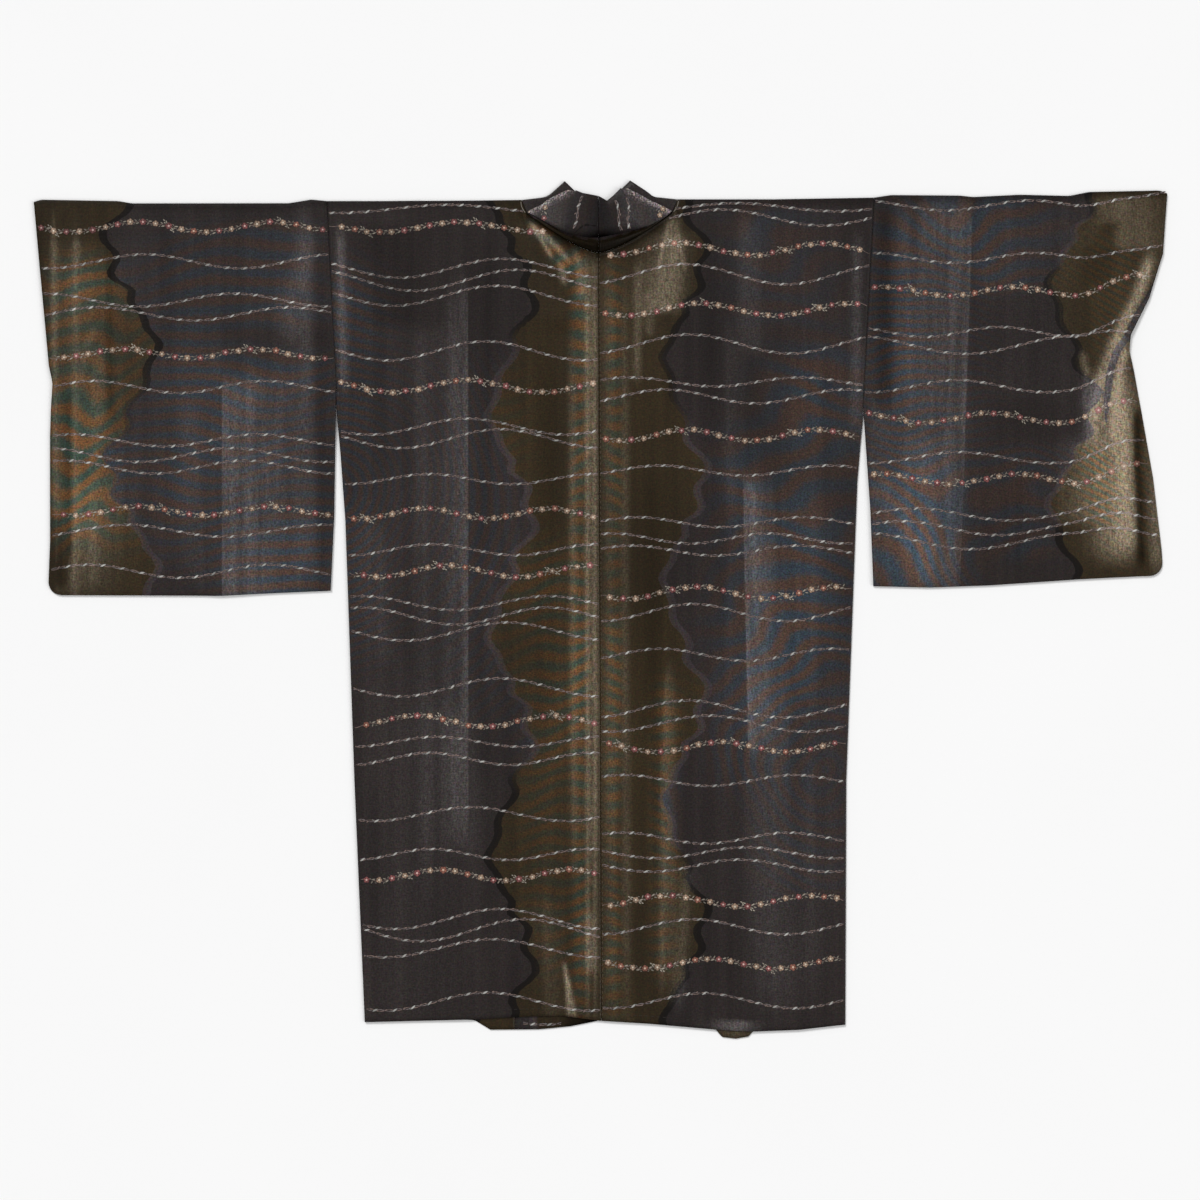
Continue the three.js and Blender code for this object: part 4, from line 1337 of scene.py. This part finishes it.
def band_vine(material):
    """The end of a vine on the left front band, where the band shows past the back's hem."""
    sign = SIDES["left"]["sign"]
    figures = Figures(lambda x, y: np.full(np.shape(x), UNDER_Z + CLOTH / 2 + RAISED))

    def line(x):
        return x, -480.5 + 1.5 * np.sin(x / 14), 0 * x, 1 + 0 * x

    vine_row(figures, line, 46, 90, sign, np.random.default_rng(9))
    return figure_object("garland_band_left", figures, sign, 1, material)


# ---- Materials ----


class Nodes:
    """A new material, and short calls that add and join its shader nodes."""

    def __init__(self, name):
        self.material = bpy.data.materials.new(name)
        self.material.use_nodes = True
        self.tree = self.material.node_tree
        self.shader = self.tree.nodes["Principled BSDF"].inputs

    def add(self, kind, **settings):
        node = self.tree.nodes.new(kind)
        for key, value in settings.items():
            setattr(node, key, value)
        return node

    def link(self, value, socket):
        """Join a node's output to a socket, or set the socket to a plain value."""
        if isinstance(value, bpy.types.NodeSocket):
            self.tree.links.new(value, socket)
        else:
            socket.default_value = value

    def math(self, operation, a, b=0.0, c=0.0, clamp=False):
        node = self.add("ShaderNodeMath", operation=operation, use_clamp=clamp)
        for socket, value in zip(node.inputs, (a, b, c)):
            self.link(value, socket)
        return node.outputs[0]

    def times(self, first, *others, clamp=False):
        """Product of values; only the last one is held between 0 and 1."""
        for value in others[:-1]:
            first = self.math("MULTIPLY", first, value)
        return self.math("MULTIPLY", first, others[-1], clamp=clamp)

    def plus(self, a, b):
        return self.math("ADD", a, b)

    def total(self, first, *others):
        """Sum of (value, share) pairs."""
        result = self.times(*first)
        for pair in others:
            result = self.plus(result, self.times(*pair))
        return result

    def ramp(self, value, low, high, to_low=0.0, to_high=1.0):
        node = self.add("ShaderNodeMapRange", interpolation_type="SMOOTHSTEP")
        for socket, v in zip(node.inputs, (value, low, high, to_low, to_high)):
            self.link(v, socket)
        return node.outputs[0]

    def mix(self, factor, a, b, blend="MIX"):
        node = self.add("ShaderNodeMix", data_type="RGBA", blend_type=blend)
        self.link(factor, node.inputs["Factor"])
        self.link(a, node.inputs[6])
        self.link(b, node.inputs[7])
        return node.outputs[2]

    def tinted(self, a, b):
        """Product of two colours."""
        return self.mix(1.0, a, b, "MULTIPLY")

    def grey(self, value):
        node = self.add("ShaderNodeCombineColor")
        for socket in node.inputs[:3]:
            self.link(value, socket)
        return node.outputs[0]

    def value(self, name, output="Fac"):
        """One of the values that the mesh holds for each of its points."""
        return self.add("ShaderNodeAttribute", attribute_name=name).outputs[output]

    def scaled(self, x, y):
        """Object coordinates stretched by the given amounts."""
        node = self.add("ShaderNodeMapping")
        self.link(self.add("ShaderNodeTexCoord").outputs["Object"], node.inputs["Vector"])
        node.inputs["Scale"].default_value = (x, y, 1.0)
        return node.outputs["Vector"]

    def noise(self, vector, scale, detail, rough=0.5, output="Fac"):
        node = self.add("ShaderNodeTexNoise")
        for name, value in zip(("Vector", "Scale", "Detail", "Roughness"), (vector, scale, detail, rough)):
            self.link(value, node.inputs[name])
        return node.outputs[output]

    def ribs(self, scale, direction):
        node = self.add("ShaderNodeTexWave", bands_direction=direction)
        self.link(self.scaled(1, 1), node.inputs["Vector"])
        node.inputs["Scale"].default_value = scale
        return node.outputs["Fac"]

    def bump(self, height, strength, distance):
        node = self.add("ShaderNodeBump")
        node.inputs["Strength"].default_value = strength
        node.inputs["Distance"].default_value = distance
        self.link(height, node.inputs["Height"])
        self.link(node.outputs[0], self.shader["Normal"])


def colour(r, g, b):
    return (r, g, b, 1.0)


# Colours of the silk: its grounds and bands, painted highlights of grounds and edges, and the shot colours.
AUBERGINE = colour(0.0185, 0.0138, 0.0130)
OLIVE = colour(0.0235, 0.0150, 0.0055)
DARK_BAND = colour(0.0032, 0.0018, 0.0012)
FAINT_BAND = colour(0.044, 0.034, 0.038)
AUBERGINE_HIGHLIGHT = colour(0.155, 0.139, 0.137)
OLIVE_HIGHLIGHT = colour(0.318, 0.256, 0.176)
EDGE_HIGHLIGHT = colour(0.46, 0.385, 0.38)
SHOT_ORANGE = colour(0.09, 0.046, 0.028)
SHOT_BLUE = colour(0.028, 0.053, 0.077)
SHOT_ORANGE_OLIVE = colour(0.165, 0.07, 0.022)
SHOT_GREEN = colour(0.03, 0.064, 0.05)
SILK_SHINE = 0.16
THREAD_SHINE = 0.35
FLOOR_SHINE = 0.1
FLOOR_ROUGHNESS = 0.9


def silk_edge(n):
    """Share of the olive ground, and the dark and the faint band along its wavy edge."""
    ragged = n.math("MULTIPLY_ADD", n.noise(n.scaled(1, 1), 160, 1), 2.0, -1.0)
    distance = n.plus(n.value("edge"), ragged)
    near_edge = n.ramp(n.math("ABSOLUTE", distance), 5.1, 4.2)
    band = n.times(near_edge, n.value("band"))
    faint = n.times(near_edge, n.math("SUBTRACT", 0.6, n.value("band"), clamp=True))
    return n.ramp(distance, -0.8, 0.8), band, faint


def silk_threads(n):
    """Variation along the weave: its threads, specks on them, and both together."""
    warp = n.noise(n.scaled(900, 150), 1.0, 2)
    weft = n.noise(n.scaled(150, 900), 1.0, 2)
    thread = n.total((warp, 0.5), (weft, 0.5))
    speck = n.noise(n.scaled(480, 480), 1.0, 3, 0.65)
    return thread, speck, n.total((thread, 0.5), (speck, 0.5))


def silk_shot(n, in_olive, speck):
    """Watery bands that turn from orange to blue or green, ragged at their edges, and their strength."""
    frayed = n.math("MULTIPLY_ADD", n.noise(n.scaled(1, 1), 210, 2), 0.32, -0.16)
    turn = n.math("SINE", n.times(n.plus(n.value("phase"), frayed), 2 * math.pi))
    warm = n.mix(in_olive, SHOT_ORANGE, SHOT_ORANGE_OLIVE)
    cool = n.mix(in_olive, SHOT_BLUE, SHOT_GREEN)
    shot = n.mix(n.ramp(turn, -1.0, 1.0), warm, cool)
    place = n.ramp(n.noise(n.scaled(1, 0.7), 7, 2), 0.3, 0.66, 0.45, 1.0)
    specked = n.ramp(speck, 0.32, 0.66, 0.62, 1.06)
    return shot, n.times(place, specked, n.value("shot"))


def painted_silk_sheen(n, mixed):
    """Share of painted highlight: specks drawn out along the warp, with a sharp edge beside a crease."""
    streaks = n.noise(n.scaled(420, 95), 1.0, 3, 0.65)
    specks = n.ramp(n.total((mixed, 0.45), (streaks, 0.55)), 0.37, 0.63, 0.34, 0.92)
    wisps = n.ramp(n.noise(n.scaled(95, 7), 1.0, 3), 0.36, 0.62, 0.55, 1.15)
    fold = n.times(n.ramp(n.value("crease"), -0.6, 1.6), n.value("crease_highlight"), wisps)
    return n.times(n.plus(n.value("painted_sheen"), fold), specks, 0.66, clamp=True)


def silk_shade(n, thread, speck):
    """Lightness by grain, clouds and streaks, and how clear a place is of painted shade."""
    grain = n.plus(n.ramp(thread, 0.3, 0.7, 0.74, 1.26), n.ramp(speck, 0.3, 0.72, -0.25, 0.34))
    cloudy = n.ramp(n.noise(n.scaled(1, 0.45), 9, 3), 0.3, 0.7, 0.84, 1.18)
    streaky = n.ramp(n.noise(n.scaled(75, 2.4), 1.0, 2), 0.3, 0.72, 0.88, 1.16)
    dimmed = n.times(n.times(n.value("painted_sheen"), -1.0, clamp=True), 0.75)
    clear = n.math("SUBTRACT", 1.0, n.math("MAXIMUM", dimmed, n.value("shade")), clamp=True)
    return n.times(grain, cloudy, streaky, clear), clear


def silk_material():
    """Figured silk: two grounds with a wavy edge, a fine rib, shot colours and speckled painted sheen."""
    n = Nodes("figured_silk")
    in_olive, band, faint = silk_edge(n)
    thread, speck, mixed = silk_threads(n)
    shot, amount = silk_shot(n, in_olive, speck)
    base = n.mix(faint, n.mix(in_olive, AUBERGINE, OLIVE), FAINT_BAND)
    base = n.mix(n.times(amount, 0.74, clamp=True), base, shot)
    base = n.mix(n.times(band, 0.92), base, DARK_BAND)

    # Painted highlight: lit threads keep the hue of the shot colours.
    light = n.mix(in_olive, AUBERGINE_HIGHLIGHT, OLIVE_HIGHLIGHT)
    lit_shot = n.tinted(shot, colour(2.6, 2.6, 2.6))
    light = n.mix(n.times(amount, 0.62, clamp=True), light, lit_shot)
    base = n.mix(painted_silk_sheen(n, mixed), base, light)
    # Painted highlight in specks along the collar's turned-down edges.
    edge_lit = n.times(n.value("edge_highlight"), n.ramp(mixed, 0.44, 0.6), 0.9, clamp=True)
    shade, clear = silk_shade(n, thread, speck)
    base = n.tinted(n.mix(edge_lit, base, EDGE_HIGHLIGHT), n.grey(shade))

    # Single threads differ a little in hue.
    fleck = n.noise(n.scaled(390, 390), 1.0, 2, output="Color")
    hue = n.tinted(fleck, colour(2.0, 2.0, 2.0))
    n.link(n.mix(0.45, base, n.tinted(base, hue)), n.shader["Base Color"])
    n.bump(n.total((n.ribs(210, "Y"), 0.5), (n.ribs(190, "X"), 0.25), (thread, 0.9)), 0.35, 0.0004)
    n.link(n.ramp(thread, 0.3, 0.7, 0.5, 0.38), n.shader["Roughness"])
    n.link(n.times(clear, SILK_SHINE), n.shader["Specular IOR Level"])
    return n.material


def thread_material():
    """Floating coloured weft of the flowers, leaves and vines."""
    n = Nodes("figure_thread")
    strand = n.noise(n.scaled(700, 2600), 1.0, 2)
    shade = n.grey(n.ramp(strand, 0.25, 0.75, 0.7, 1.25))
    n.link(n.tinted(n.value("tint", "Color"), shade), n.shader["Base Color"])
    n.bump(strand, 0.4, 0.0002)
    n.link(n.ramp(strand, 0.2, 0.8, 0.5, 0.36), n.shader["Roughness"])
    n.shader["Specular IOR Level"].default_value = THREAD_SHINE
    return n.material


def floor_material():
    n = Nodes("pale_floor")
    mottle = n.noise(n.scaled(1, 1), 3, 2)
    n.link(n.mix(mottle, colour(0.94, 0.94, 0.94), colour(0.96, 0.96, 0.96)), n.shader["Base Color"])
    n.shader["Roughness"].default_value = FLOOR_ROUGHNESS
    n.shader["Specular IOR Level"].default_value = FLOOR_SHINE
    return n.material


# ---- Pieces ----


def cloth_piece(node, name, grids, material):
    sign = SIDES[name]["sign"]
    points, layer, polygons = welded(grids, sign)
    piece = mesh_object(f"silk_{node}", points, polygons, material, sign)
    for label, values in figure_values(node, name, points, layer).items():
        set_values(piece, label, values)
    wall = piece.modifiers.new("wall", "SOLIDIFY")
    wall.thickness = CLOTH * MM
    wall.offset = 0
    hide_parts(node)
    return piece


def build():
    silk = silk_material()
    thread = thread_material()
    for name in SIDES:
        for part, make in (("body", body_grids), ("sleeve", sleeve_grids), ("collar", collar_grids)):
            node = f"{part}_{name}"
            grids = make(name)
            piece = cloth_piece(node, name, grids, silk)
            if part == "collar":
                figures = [collar_garlands(name, grids, thread)]
                if name == "left":
                    figures.append(band_vine(thread))
            else:
                figures = garlands(node, name, thread)


# ---- Stage, light and camera ----


FLOOR_REACH = 8.0  # metres from its middle to each edge
FLOOR_Z = -0.0002  # metres
SKY_STRENGTH = 0.42
SUNS = [
    # name, degrees turned about x, y and z, strength, and degrees across
    ("key", (-42, -30, 0), 1.9, 18),
    ("fill", (18, 52, 0), 1.0, 40),
]
SUN_HEIGHT = 3  # metres
LENS = 85
SENSOR_WIDTH = 36
EYE = (-0.0006, 0.011, 3.295)  # metres; the camera looks straight down from there
SIGHT_END = 50  # metres


def add_sun(name, turn, strength, softness):
    data = bpy.data.lights.new(name, "SUN")
    data.energy = strength
    data.angle = math.radians(softness)
    light = bpy.data.objects.new(name, data)
    light.location.z = SUN_HEIGHT
    light.rotation_euler = [math.radians(a) for a in turn]
    bpy.context.scene.collection.objects.link(light)


def stage():
    mesh = bpy.data.meshes.new("floor")
    corners = [(a * FLOOR_REACH, b * FLOOR_REACH, 0) for a, b in ((-1, -1), (1, -1), (1, 1), (-1, 1))]
    mesh.from_pydata(corners, [], [[0, 1, 2, 3]])
    mesh.materials.append(floor_material())
    floor = bpy.data.objects.new("floor", mesh)
    floor.location.z = FLOOR_Z
    bpy.context.scene.collection.objects.link(floor)

    world = bpy.data.worlds.new("world")
    world.use_nodes = True
    background = world.node_tree.nodes["Background"]
    background.inputs["Color"].default_value = colour(1, 1, 1)
    background.inputs["Strength"].default_value = SKY_STRENGTH
    bpy.context.scene.world = world

    for row in SUNS:
        add_sun(*row)


def camera():
    data = bpy.data.cameras.new("camera")
    data.lens = LENS
    data.sensor_width = SENSOR_WIDTH
    data.clip_end = SIGHT_END
    eye = bpy.data.objects.new("camera", data)
    eye.location = EYE
    bpy.context.scene.collection.objects.link(eye)
    bpy.context.scene.camera = eye


build()
stage()
camera()
bpy.context.scene.view_settings.view_transform = "Standard"
